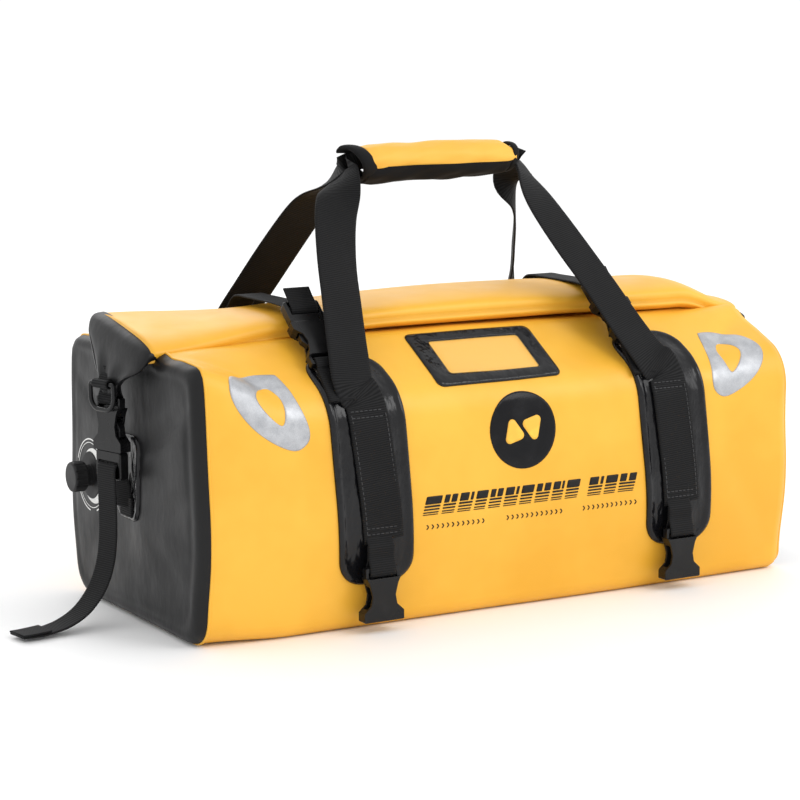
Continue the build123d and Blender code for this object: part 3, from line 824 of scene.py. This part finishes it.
def leg_path(side, sx, joint, grip_y, grip_z, bows, twist):
    """Half a webbing loop: up the anchor, up the leg with its own lean, then into the wrap. bows are millimetres
    along x at each step, and twist turns the webbing on edge between the anchor and the wrap."""
    hinge = hinge_point(joint)
    s = np.linspace(*WEB_RUN, 8)
    rise = skin(anchor_x(side, sx, s), s, side, WEB_LIFT)
    path, wide = list(rise), [(1.0, 0.0, 0.0)] * len(rise)
    foot = np.array([HANDLE_X[sx], hinge[1], hinge[2] + 2 * MM])
    head = np.array([sx * 0.088, grip_y, grip_z - 5 * MM])
    for t, bow in zip(LEG_STEPS, bows):
        path.append(foot + (head - foot) * t + np.array([bow * MM, side * 3 * MM * math.sin(math.pi * t), 0]))
        turn = twist * float(smooth(0, 0.35, t) * (1 - smooth(0.75, 1.0, t)))
        tip = float(smooth(0.70, 1.0, t))
        wide.append((math.cos(turn) * (1 - 0.35 * tip), math.sin(turn), -sx * 0.75 * tip))
    for x, dz, across in ((0.081, 1.0, 0.55), (0.068, 2.5, 0.2), (0.03, 3, 0.02), (0.0, 3, 0.0)):
        path.append(np.array([sx * x, grip_y, grip_z + dz * MM]))
        wide.append((across, 0.0, -sx))
    return path, wide


GRIP_Z = GRIP_LOW.z + 6 * MM
GRIP_CENTRE_Y = GRIP_LOW.y + 18 * MM
REAR_WEB_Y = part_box("rear_handle_webbing")[0].y + 2 * MM
make_handle(-1, "front_handle_strap", ["front_handle_webbing", "front_anchor_webbing"], "front_handle_swing",
            GRIP_CENTRE_Y, GRIP_Z - 1 * MM)
make_handle(1, "rear_handle_strap", ["rear_handle_webbing", "rear_anchor_webbing"], "rear_handle_swing",
            REAR_WEB_Y, GRIP_Z - 2 * MM)


# ---------------------------------------------------------------- stitching
def stitches(name, rows, length=3.0 * MM, gap=1.3 * MM, width=0.42 * MM, height=0.38 * MM):
    """Short raised threads along rows of (points, surface normals), each row a smooth run of points."""
    vertices, faces = [], []
    for points, normals in rows:
        points, normals = np.array(points, float), np.array(normals, float)
        run, total = by_length(points)
        at = np.arange(0.5 * length, total - 0.4 * length, length + gap)
        for d in at:
            ends = [np.array([np.interp(d + k * length / 2, run, points[:, i]) for i in range(3)]) for k in (-1, 1)]
            up = np.array([np.interp(d, run, normals[:, i]) for i in range(3)])
            up /= np.linalg.norm(up)
            along = (ends[1] - ends[0]) / np.linalg.norm(ends[1] - ends[0])
            across = np.cross(along, up)
            middle = (ends[0] + ends[1]) / 2
            base = len(vertices)
            for share, tall in ((-1, 0.0), (-0.55, 0.8), (0.0, 1.0), (0.55, 0.8), (1, 0.0)):
                p = middle + along * share * length / 2
                vertices += [p - across * width - up * 0.15 * MM, p - across * width * 0.6 + up * height * tall,
                             p + across * width * 0.6 + up * height * tall, p + across * width - up * 0.15 * MM]
            for k in range(4):
                for j in range(4):
                    a, b = base + 4 * k + j, base + 4 * k + (j + 1) % 4
                    faces.append((a, b, b + 4, a + 4))
            faces += [(base, base + 1, base + 2, base + 3), (base + 16, base + 17, base + 18, base + 19)]
    return make_object(name, vertices, faces, "bag", MAT["thread"], "webbing", smooth_faces=False)


def sewn_rows(sx, low, high, side, lift, half):
    """A box of stitching round a strap sewn flat to the bag's side, with a bar at both ends."""
    s0, s1 = run_at_height(low), run_at_height(high)

    def row(x0, sa, x1, sb, count=24):
        ss = np.linspace(sa, sb, count)
        xs = np.linspace(x0, x1, count) + anchor_x(side, sx, ss)
        points = skin(xs, ss, side, lift)
        return points, skin(xs, ss, side, lift + 1 * MM) - points

    rows = [row(-half, s0, -half, s1), row(half, s0, half, s1)]
    for s in (s0, s0 + 5 * MM, s1 - 5 * MM, s1):
        rows.append(row(-half, s, half, s))
    return rows


for side, end in ((-1, "front"), (1, "rear")):
    for sx in (-1, 1):
        stitches(f"anchor_stitching_{end}_{'left' if sx < 0 else 'right'}",
                 sewn_rows(sx, WEB_LOW.z + 6 * MM, WEB_HIGH.z - 10 * MM, side,
                           WEB_LIFT + WEBBING[1] / 2, 16 * MM))


# ---------------------------------------------------------------- padded handle wrap
GRIP_RADII = (18.2 * MM, 13.6 * MM)        # the wrap's half depth and half height


def make_wrap():
    """The padded handle wrap: a yellow cover over a black lining that bulges below it, and a binding at each end."""
    half = GRIP_HIGH.x
    rings = {"cover": [], "lining": []}
    # each pad from one angle to the other in degrees, its thickness and growth in millimetres, and its bulge
    pads = (("cover", 38, 207, 3.2, 0.6, 0), ("lining", 196, 322, 6.0, 0.4, 1))
    for x in np.linspace(-half, half, 84):
        t = x / half
        arch = 1.6 * MM * (1 - t * t)
        fall = 1 - 0.34 * float(smooth(0.86, 1.0, abs(t))) * (1.0 if x > 0 else 0.25)
        puff = 0.5 * MM * math.sin(62 * x + 0.4) + 0.35 * MM * math.sin(128 * x + 1.3)
        for key, low_q, high_q, pad, grow, drop in pads:
            pad, grow = pad * MM, grow * MM
            q = np.radians(np.linspace(low_q, high_q, 38))
            edge = np.clip(np.minimum(q - q[0], q[-1] - q) / 0.22, 0, 1) ** 0.5
            crumple = 0.35 * MM * np.sin(7 * q + 55 * x) * np.sin(120 * x) * (1 + drop)
            ry = (GRIP_RADII[0] + puff * 0.6 + grow) * (1 - 0.3 * (1 - fall)) + crumple
            rz = ((GRIP_RADII[1] + puff + grow) * fall + crumple
                  + drop * (4.4 - 2.2 * t) * MM * np.clip(-np.sin(q), 0, 1))
            thick = pad * (0.2 + 0.8 * edge)
            centre = np.array([x, GRIP_CENTRE_Y, GRIP_Z + arch * (1 - drop)])
            outer = centre + np.stack([0 * q, ry * np.cos(q), rz * np.sin(q)], 1)
            inner = centre + np.stack([0 * q, (ry - thick) * np.cos(q), (rz - thick) * np.sin(q)], 1)
            rings[key].append(np.vstack([outer, inner[::-1]]))
    for key, mat in (("cover", "grip"), ("lining", "lining")):
        pad = loft(f"grip_{key}_padded", rings[key], "front_handle", MAT[mat], f"grip_{key}")
        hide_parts(f"grip_{key}")
    bands = []
    for x0, x1, slant, grow in ((-half - 11 * MM, -half + 4 * MM, 7 * MM, 1.9 * MM),
                                (half - 3 * MM, half + 4 * MM, -2 * MM, 0.9 * MM)):
        rows = []
        for k, x in enumerate(np.linspace(x0, x1, 12)):
            q = np.radians(np.linspace(36, 324, 64))
            step = math.sin(math.pi * k / 11) ** 0.4
            shift = x - slant * np.sin(q + 0.35)
            waist = 0.93 if slant > 0 else 0.90
            size = (waist + 0.07 * (1 - k / 11)) if slant > 0 else waist - 0.10 * k / 11
            ring = []
            for lift in (grow * step, -1.6 * MM):
                ring.append(np.stack([shift, GRIP_CENTRE_Y + (GRIP_RADII[0] * size + lift) * np.cos(q),
                                      GRIP_Z + (13.8 * MM * size + lift + 2.0 * MM * np.clip(-np.sin(q), 0, 1))
                                      * np.sin(q)], 1))
            rows.append(np.vstack([ring[0], ring[1][::-1]]))
        bands.append(loft(f"band_{x0:.3f}", rows, None, MAT["binding"]))
    bound = join("grip_bindings", bands)
    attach(bound, "front_handle")
    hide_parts("grip_bands")


make_wrap()


# ---------------------------------------------------------------- window, films and prints
def make_front_trim():
    front = on_side(-1)
    low, high = (run_at_height(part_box("id_window_frame")[k].z) for k in (0, 1))
    outer = rounded_polygon([(-0.067, low - 1 * MM, 7 * MM), (0.060, low + 1 * MM, 6 * MM),
                             (0.0585, high, 7 * MM), (-0.069, high, 5 * MM)])
    inner = rounded_polygon([(-0.049, low + 13 * MM, 3 * MM), (0.043, low + 13 * MM, 3 * MM),
                             (0.0425, high - 11 * MM, 3 * MM), (-0.0495, high - 11 * MM, 3 * MM)])
    rim = applique("id_window_rim", outer, front,
                   [(0, 0.9), (0.08, 1.9), (0.25, 2.1), (0.7, 2.0), (0.92, 1.7), (1, 0.9)], "bag", MAT["patch"],
                   "welded_patch", inner=inner, count=160)
    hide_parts("id_window_frame")
    pane = applique("id_window_pane", inner, front,
                    [(0, 0.9), (0.2, 1.2), (0.5, 1.5), (0.8, 1.3), (1, 1.3)], "bag", MAT["window"], "window_film",
                    count=120, bottom=0.85)
    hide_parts("id_window")

    film_low, film_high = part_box("emblem_film")
    x_disc, s_disc = (film_low.x + film_high.x) / 2, run_at_height((film_low.z + film_high.z) / 2)
    disc = applique("emblem_disc", circle(x_disc, s_disc, 34 * MM), front,
                    [(0, 0.45), (0.05, 0.6), (0.3, 0.6), (0.6, 0.6), (0.9, 0.6)], "bag", MAT["emblem"], "emblem_film")
    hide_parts("emblem_film")
    marks = []
    for k, (cx, cs, turn) in enumerate(((-0.009, 0.0, 0.0), (0.009, 0.0, math.pi))):
        shape = rounded_polygon([(-0.011, -0.013, 4 * MM), (0.012, -0.007, 4 * MM), (-0.004, 0.015, 4 * MM)])
        c, s = math.cos(turn), math.sin(turn)
        shape = shape @ np.array([[c, s], [-s, c]]) + np.array([x_disc + cx, s_disc + cs])
        marks.append(applique(f"mark_{k}", shape, front, [(0, 0.75), (0.3, 0.8), (0.8, 0.8)], None,
                              MAT["emblem_mark"], count=60))
    join_trim("emblem_mark_raised", marks)

    s_print = run_at_height(0.1015)
    bars = []

    def printed(outline, count=28):
        bars.append(applique(f"print_{len(bars)}", outline, front, [(0, 0.30), (0.5, 0.32)], None,
                             MAT["ink"], count=count))

    # slanted blocks with thin lines under them: widths in millimetres, with one gap, and the shares of its width
    # that a block takes up
    widths, gap, stretch = (15, 12, 13, 11, 12, 13, 12, 14, 11, 13, 0, 14, 12, 16), 7.5 * MM, 1.04
    rows = ((1.2, 8.0), (-1.4, 0.2), (-3.9, -2.6), (-6.3, -5.3), (-8.0, -7.3))
    slabs = ([(0, 1)], [(0, 0.40), (0.56, 1)], [(0, 0.64), (0.80, 1)])
    x = -0.091
    for block, width in enumerate(widths):
        if not width:
            x += gap
            continue
        for row, (bottom, top) in enumerate(rows):
            for low, high in slabs[0 if row else block % 3]:
                corners = [(x + (share * width * stretch + 0.30 * height) * MM, s_print + height * MM, 0.3 * MM)
                           for share, height in ((low, bottom), (high, bottom), (high, top), (low, top))]
                printed(rounded_polygon(corners, 3))
        x += (width * stretch + 2.9) * MM
    s_row = s_print - 18.5 * MM
    for group in (-0.088, -0.008, 0.071):
        for k in range(12):
            cx = group + k * 5.0 * MM
            for half in (-2.1, 2.1):
                printed(rounded_polygon([(cx + along * MM, s_row + up * MM, 0.15 * MM)
                                         for along, up in ((-1.3, half), (-0.1, half), (1.5, 0), (0.3, 0))], 2), 14)
    join_trim("front_print", bars)

    films = []
    hole = [(-0.242, 0.190), (-0.236, 0.200), (-0.225, 0.205), (-0.2165, 0.194), (-0.2165, 0.180),
            (-0.2215, 0.170), (-0.235, 0.179)]
    solid = [(-0.2685, 0.190), (-0.260, 0.207), (-0.240, 0.2185), (-0.214, 0.222), (-0.2085, 0.217),
             (-0.202, 0.190), (-0.195, 0.164), (-0.199, 0.153), (-0.213, 0.1495), (-0.243, 0.161),
             (-0.262, 0.175)]
    middle = (run_at_height(0.151) + run_at_height(0.2235)) / 2
    for sx, narrow, out, up in ((-1, 0.95, 0.0, 0.0), (1, 0.84, 15 * MM, 9 * MM)):
        def flat(points, sx=sx, narrow=narrow, out=out, up=up):
            points = np.array([(sx * (0.233 + out - (x + 0.233) * narrow), middle + up + (z - 0.187))
                               for x, z in points])
            loop = np.vstack([points[-2:], points, points[:3]])
            curve = spline(loop, 400)
            start = int(np.argmin(np.linalg.norm(curve[:200] - points[0], axis=1)))
            stop = 200 + int(np.argmin(np.linalg.norm(curve[200:] - points[0], axis=1)))
            return curve[start:stop]

        films.append(applique(f"film_{sx}", flat(solid), front,
                              [(0, 0.35), (0.06, 0.5), (0.5, 0.5), (0.94, 0.5), (1, 0.35)], None,
                              MAT["reflective"], inner=flat(hole), count=120))
    join_trim("reflective_film_pair", films, "reflective_films")


make_front_trim()


# ---------------------------------------------------------------- buckles: carried-over CAD nodes, softened
def soften(node, mat, width):
    """A better material and rounded edges on a CAD node, without touching its mesh."""
    obj = frame["nodes"][node]
    obj.data.materials.clear()
    obj.data.materials.append(mat)
    weld = obj.modifiers.new("weld", "WELD")
    weld.merge_threshold = 0.00002
    flat = obj.modifiers.new("planar", "DECIMATE")
    flat.decimate_type, flat.angle_limit = "DISSOLVE", math.radians(2)
    bevel = obj.modifiers.new("bevel", "BEVEL")
    bevel.width, bevel.segments, bevel.limit_method = width, 3, "ANGLE"
    bevel.angle_limit, bevel.use_clamp_overlap, bevel.harden_normals = math.radians(32), True, False
    bevel.miter_outer = "MITER_ARC"
    obj.data.shade_smooth()
    normals = obj.modifiers.new("normals", "WEIGHTED_NORMAL")
    normals.keep_sharp = True


for node in [n for n in frame["nodes"] if any(w in n for w in ("buckle", "female", "_male", "latch"))]:
    soften(node, MAT["buckle"], 0.35 * MM if "latch" in node else 0.55 * MM)
for node, mat, width in (("d_ring_left", "buckle", 0.2), ("d_ring_right", "buckle", 0.2), ("valve_base", "valve", 0.4),
                         ("valve_knob", "valve", 0.4), ("valve_seal", "rubber", 0.2), ("valve_nut", "valve", 0.4)):
    soften(node, MAT[mat], width * MM)


# ---------------------------------------------------------------- hanging tie-down buckles
def make_tiedown(end, side_name):
    side = -1 if end == "front" else 1
    hinge = hinge_point(f"tiedown_{end}_{side_name}_swing")
    low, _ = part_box(f"tiedown_loop_{end}_{side_name}")
    bar_z = low.z + 3.8 * MM
    x, y = hinge[0], hinge[1]
    top = skin(np.full(3, x), np.array([run_at_height(WEB_LOW.z + d * MM) for d in (16, 9, 3)]), side,
               PATCH_LIFT + 1.2 * MM)
    t = NARROW[1]
    wide = (1.0, 0.0, 0.0)
    out = side * (3.0 * MM + 0.3 * MM + t / 2)
    # down from the patch, round the buckle's bar and up again: outward, above the bar or the hinge
    turn = [(side * 0.7 * MM, hinge[2] - 3 * MM), (side * 0.9 * MM, bar_z + 12 * MM), (out * 0.75, bar_z + 5 * MM),
            (out, bar_z), (out * 0.8, bar_z - 3 * MM), (0, bar_z - 4.4 * MM), (-out * 0.8, bar_z - 3 * MM),
            (-out, bar_z), (-out * 0.75, bar_z + 5 * MM), (-side * 0.9 * MM, bar_z + 12 * MM),
            (-side * 0.95 * MM, hinge[2] - 2 * MM)]
    path = list(top) + [(x, y + d, z) for d, z in turn]
    loop = strap(f"tiedown_webbing_{end}_{side_name}", path, wide, 90)
    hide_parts(f"tiedown_loop_{end}_{side_name}")
    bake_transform(loop)


for end in ("front", "rear"):
    for side_name in ("left", "right"):
        make_tiedown(end, side_name)


# ---------------------------------------------------------------- buckle frames
LATCH_DEPTH = 3.1 * MM             # how far a buckle's prong roots lie inside its mouth


def buckle_frame(stem):
    """A side-release buckle's mouth, and its own y (out of its face) and z (from male half to female half)."""
    z = -np.array(JOINTS[f"{stem}_release"]["axis"], float)
    a, b = (hinge_point(f"{stem}_latch_{k}_squeeze") for k in "ab")
    return (a + b) / 2 - z * LATCH_DEPTH, np.cross(z, (b - a) / np.linalg.norm(b - a)), z


# ---------------------------------------------------------------- compression straps over the roll
def make_compression(side_name):
    stem = f"compression_{side_name}"
    mouth, y, z = buckle_frame(stem)

    def at(y_own, z_own):
        return mouth + y * y_own * MM + z * z_own * MM

    up = 1 if (at(1, 0) - mouth)[2] > 0 else -1
    t = NARROW[1]
    cx = mouth[0]
    over = ROLL_HIGH.z + 2.4 * MM + 1.3 * MM + t / 2
    s_rear = run_at_height(0.2085)
    rear = skin(np.full(4, cx), np.array([s_rear, s_rear + 6 * MM, s_rear + 14 * MM, s_rear + 22 * MM]), 1,
                PATCH_LIFT + 1.2 * MM)
    path = list(rear) + [(cx, 0.072, 0.2475), (cx, 0.060, 0.2575), (cx, 0.046, over - 1 * MM), (cx, 0.020, over),
                         (cx, -0.012, over), (cx, -0.034, over - 0.2 * MM), at(-6.0 * up, -27), at(-5.9 * up, -20),
                         at(-5.7 * up, -14), at(-3.5 * up, -11.4), at(0, -11), at(3.5 * up, -11.2),
                         at(5.9 * up, -13.5), at(6.3 * up, -19), at(6.6 * up, -27), at(7.6 * up, -36)]
    over_roll = strap(f"{stem}_webbing", path, (1.0, 0.0, 0.0), 190)
    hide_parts(f"compression_strap_{side_name}")
    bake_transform(over_roll)
    out = BAR_REACH * MM + t / 2
    bar = at(0, 44)
    s_foot = run_at_height(0.2045)
    foot = skin(np.full(3, cx), np.array([s_foot - 14 * MM, s_foot - 6 * MM, s_foot + 1 * MM]), -1,
                PATCH_LIFT + 1.3 * MM)
    loop = list(foot) + [at(-1.0 * up, 51.5), at(-2.6 * up, 48.5), bar - y * up * out, at(-3.6 * up, 40.6),
                         at(0, 39.4), at(3.6 * up, 40.6), bar + y * up * out, at(2.8 * up, 48.8),
                         at(0.9 * up, 52)] + [p + np.array([0, -1.0, 1.2]) * MM for p in foot[:2][::-1]]
    return strap(f"{stem}_anchor", loop, (1.0, 0.0, 0.0), 110, "bag")


anchors = [make_compression(s) for s in ("left", "right")]
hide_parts("compression_loops")


# ---------------------------------------------------------------- closures at the two ends
def make_closure(side_name):
    k = -1 if side_name == "left" else 1
    stem = f"closure_{side_name}"
    c, s = math.cos(CLOSURE_YAW), math.sin(CLOSURE_YAW)
    across = np.array([-k * s, -c, 0.0])
    out = np.array([k * c, -s, 0.0])
    axis = np.array([k * CLOSURE_X, 0.0, 0.0])

    def at(outward, z, sideways=0.0):
        p = axis + out * outward * MM + across * sideways * MM
        return np.array([p[0], p[1], z * MM])

    t = NARROW[1] / MM
    run = 4.5 + 0.3 + t / 2 + 0.5
    wide = tuple(across)
    leg = [at(-10.2, 100), at(-10.2, 108), at(-9.0, 118), at(-run - 0.4, 127), at(-run, 133), at(-3.4, 138.6),
           at(0, 139), at(3.4, 138.8), at(run, 136.5), at(run + 0.6, 130), at(run + 0.3, 118)]
    if k < 0:
        tail = [at(6.0, 98), at(6.5, 76), at(10, 54), at(19, 34), at(34, 17.5, -1), at(52, 8, -3),
                at(72, 4.2, -5), at(88, 3.6, -7), at(97, 4.0, -8)]
    else:
        tail = [at(6.8, 96), at(8.5, 72, -1), at(12, 48, -2), at(17, 27, -2)]
    hanging = strap(f"{stem}_webbing", leg + tail, wide, 170)
    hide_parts(f"closure_strap_{side_name}")
    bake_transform(hanging)
    if k < 0:
        tip = [at(97.5, 5.6, -8), at(90, 5.5, -7.2), at(80, 5.8, -6.1), at(71, 6.3, -5)]
        strap("closure_left_tip", tip, wide, 24, "bag")

    bar_z = CLOSURE_MOUTH_Z / MM + 44
    o = BAR_REACH + t / 2
    ring_axis = hinge_point(f"d_ring_{side_name}_swing")
    ring_out = 9.0
    ring_z = ring_axis[2] / MM
    r = 2.0 + 0.3 + t / 2
    tab = [at(-1.6, 222), at(-1.5, 214), at(-1.4, 206), at(-2.2, bar_z + 6), at(-o, bar_z + 1), at(-o * 0.9, bar_z - 3),
           at(0, bar_z - 4.6), at(o * 0.9, bar_z - 3), at(o, bar_z + 1), at(1.8, bar_z + 7), at(1.4, 206),
           at(1.0, 215), at(0.6, 222)]
    strip = strap(f"{stem}_tab_webbing", tab, wide, 90)
    q = np.radians(np.linspace(200, -150, 12))
    keeper = [at(2.4, ring_z + 8), at(3.6, ring_z + 5)]
    keeper += [at(ring_out + r * math.cos(a), ring_z + r * math.sin(a)) for a in q]
    keeper += [at(3.4, ring_z - 4.5), at(2.6, ring_z - 7)]
    band = ribbon(f"{stem}_ring_keeper", keeper, wide, 21 * MM, NARROW[1], MAT["web"], samples=80)
    join_trim(f"{stem}_tab_sewn", [strip, band], f"closure_tab_{side_name}")


for side_name in ("left", "right"):
    make_closure(side_name)


# ---------------------------------------------------------------- end patches, valve print
def on_end(side_x):
    """A placing function for points given as (y, z) on an end panel."""
    def place(points, height):
        x = np.array([face_x(y, z, side_x) for y, z in points])
        return np.stack([x + side_x * height, points[:, 0], points[:, 1]], axis=1)
    return place


def make_end_trim():
    low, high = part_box("end_patches")
    heights = [(0, 1.1), (0.05, 2.1), (0.13, 2.3), (0.22, 1.7), (0.5, 1.6), (1, 1.6)]
    made = []
    for sx in (-1, 1):
        outline = rectangle(0, (low.z + high.z) / 2, high.y - low.y, high.z - low.z, 12 * MM)
        made.append(long_applique(f"end_patch_{sx}", outline, on_end(sx), heights, MAT["patch"], count=110))
        sewn = [np.array([sx * (abs(face_x(0, z * MM, sx)) + 2.6 * MM), 0.0, z * MM]) for z in (92, 98, 104, 109)]
        strap(f"end_anchor_webbing_{'left' if sx < 0 else 'right'}", sewn, (0.0, 1.0, 0.0), 20, "bag")
    join_trim("end_patches_welded", made, "end_patches")
    prints = []
    for radius, width, start, stop in ((32, 1.2, 20, 120), (32, 1.2, 150, 250), (32, 1.2, 275, 350),
                                       (29.0, 0.7, 15, 345)):
        q = np.radians(np.linspace(start, stop, 40))
        rows = [on_end(-1)(np.stack([VALVE_Y + r * MM * np.cos(q), VALVE_Z + r * MM * np.sin(q)], 1), 0.35 * MM)
                for r in (radius + width / 2, radius - width / 2)]
        prints.append(make_object(f"arc_{radius}_{start}", np.concatenate(rows), grid_faces(2, 40, closed=False), None,
                                  MAT["white"]))
    disc = applique("valve_disc", circle(VALVE_Y - 5.5 * MM, VALVE_Z, 24.5 * MM), on_end(-1),
                    [(0, 0.4), (0.1, 0.45), (0.6, 0.45)], None, MAT["white"], count=64)
    join_trim("valve_print", prints + [disc])


make_end_trim()


# ---------------------------------------------------------------- floor, light, camera
def make_stage():
    mesh = bpy.data.meshes.new("floor")
    reach = 40.0
    mesh.from_pydata([(-reach, -reach, 0), (reach, -reach, 0), (reach, reach, 0), (-reach, reach, 0)], [],
                     [(0, 1, 2, 3)])
    floor = bpy.data.objects.new("floor", mesh)
    floor.location.z = -0.2 * MM
    bpy.context.scene.collection.objects.link(floor)
    m = Shade("studio_floor", (0.97, 0.97, 0.97), 0.8)
    m.rough(m.ramp(m.noise(3, 2), 0.3, 0.7, 0.55, 0.65))
    mesh.materials.append(m.mat)

    bpy.context.scene.view_settings.view_transform = "Standard"
    world = bpy.data.worlds.new("studio")
    bpy.context.scene.world = world
    world.use_nodes = True
    background = world.node_tree.nodes["Background"].inputs
    background["Color"].default_value, background["Strength"].default_value = (1, 1, 1, 1), 1.05

    def area(name, place, target, size, power):
        light = bpy.data.lights.new(name, "AREA")
        light.shape, light.size, light.size_y, light.energy = "RECTANGLE", *size, power
        obj = bpy.data.objects.new(name, light)
        obj.location = place
        obj.rotation_mode = "QUATERNION"
        obj.rotation_quaternion = (Vector(target) - Vector(place)).to_track_quat("-Z", "Y")
        bpy.context.scene.collection.objects.link(obj)

    area("key", (1.15, -2.2, 2.1), (0.25, 0, 0.12), (1.3, 1.3), 23)
    area("fill", (2.4, -1.6, 1.3), (0.1, 0, 0.15), (1.4, 1.4), 12)
    area("left", (-2.6, 0.6, 1.9), (-0.3, 0, 0.2), (0.5, 1.4), 3)
    area("back", (0.2, 2.4, 1.8), (0, 0, 0.2), (2.0, 1.0), 14)


def make_camera():
    """A long lens from the front left, slightly above the bag."""
    data = bpy.data.cameras.new("camera")
    data.sensor_width, data.lens = 36.0, 113.3
    data.clip_start, data.clip_end = 0.05, 200
    cam = bpy.data.objects.new("camera", data)
    cam.location = (-1.1479, -1.9504, 0.5240)
    cam.rotation_mode = "QUATERNION"
    forward, roll = Vector((0.48988, 0.85772, -0.15598)).normalized(), math.radians(-0.4)
    cam.rotation_quaternion = forward.to_track_quat("-Z", "Y") @ Matrix.Rotation(roll, 4, "Z").to_quaternion()
    bpy.context.scene.collection.objects.link(cam)
    bpy.context.scene.camera = cam


make_stage()
make_camera()
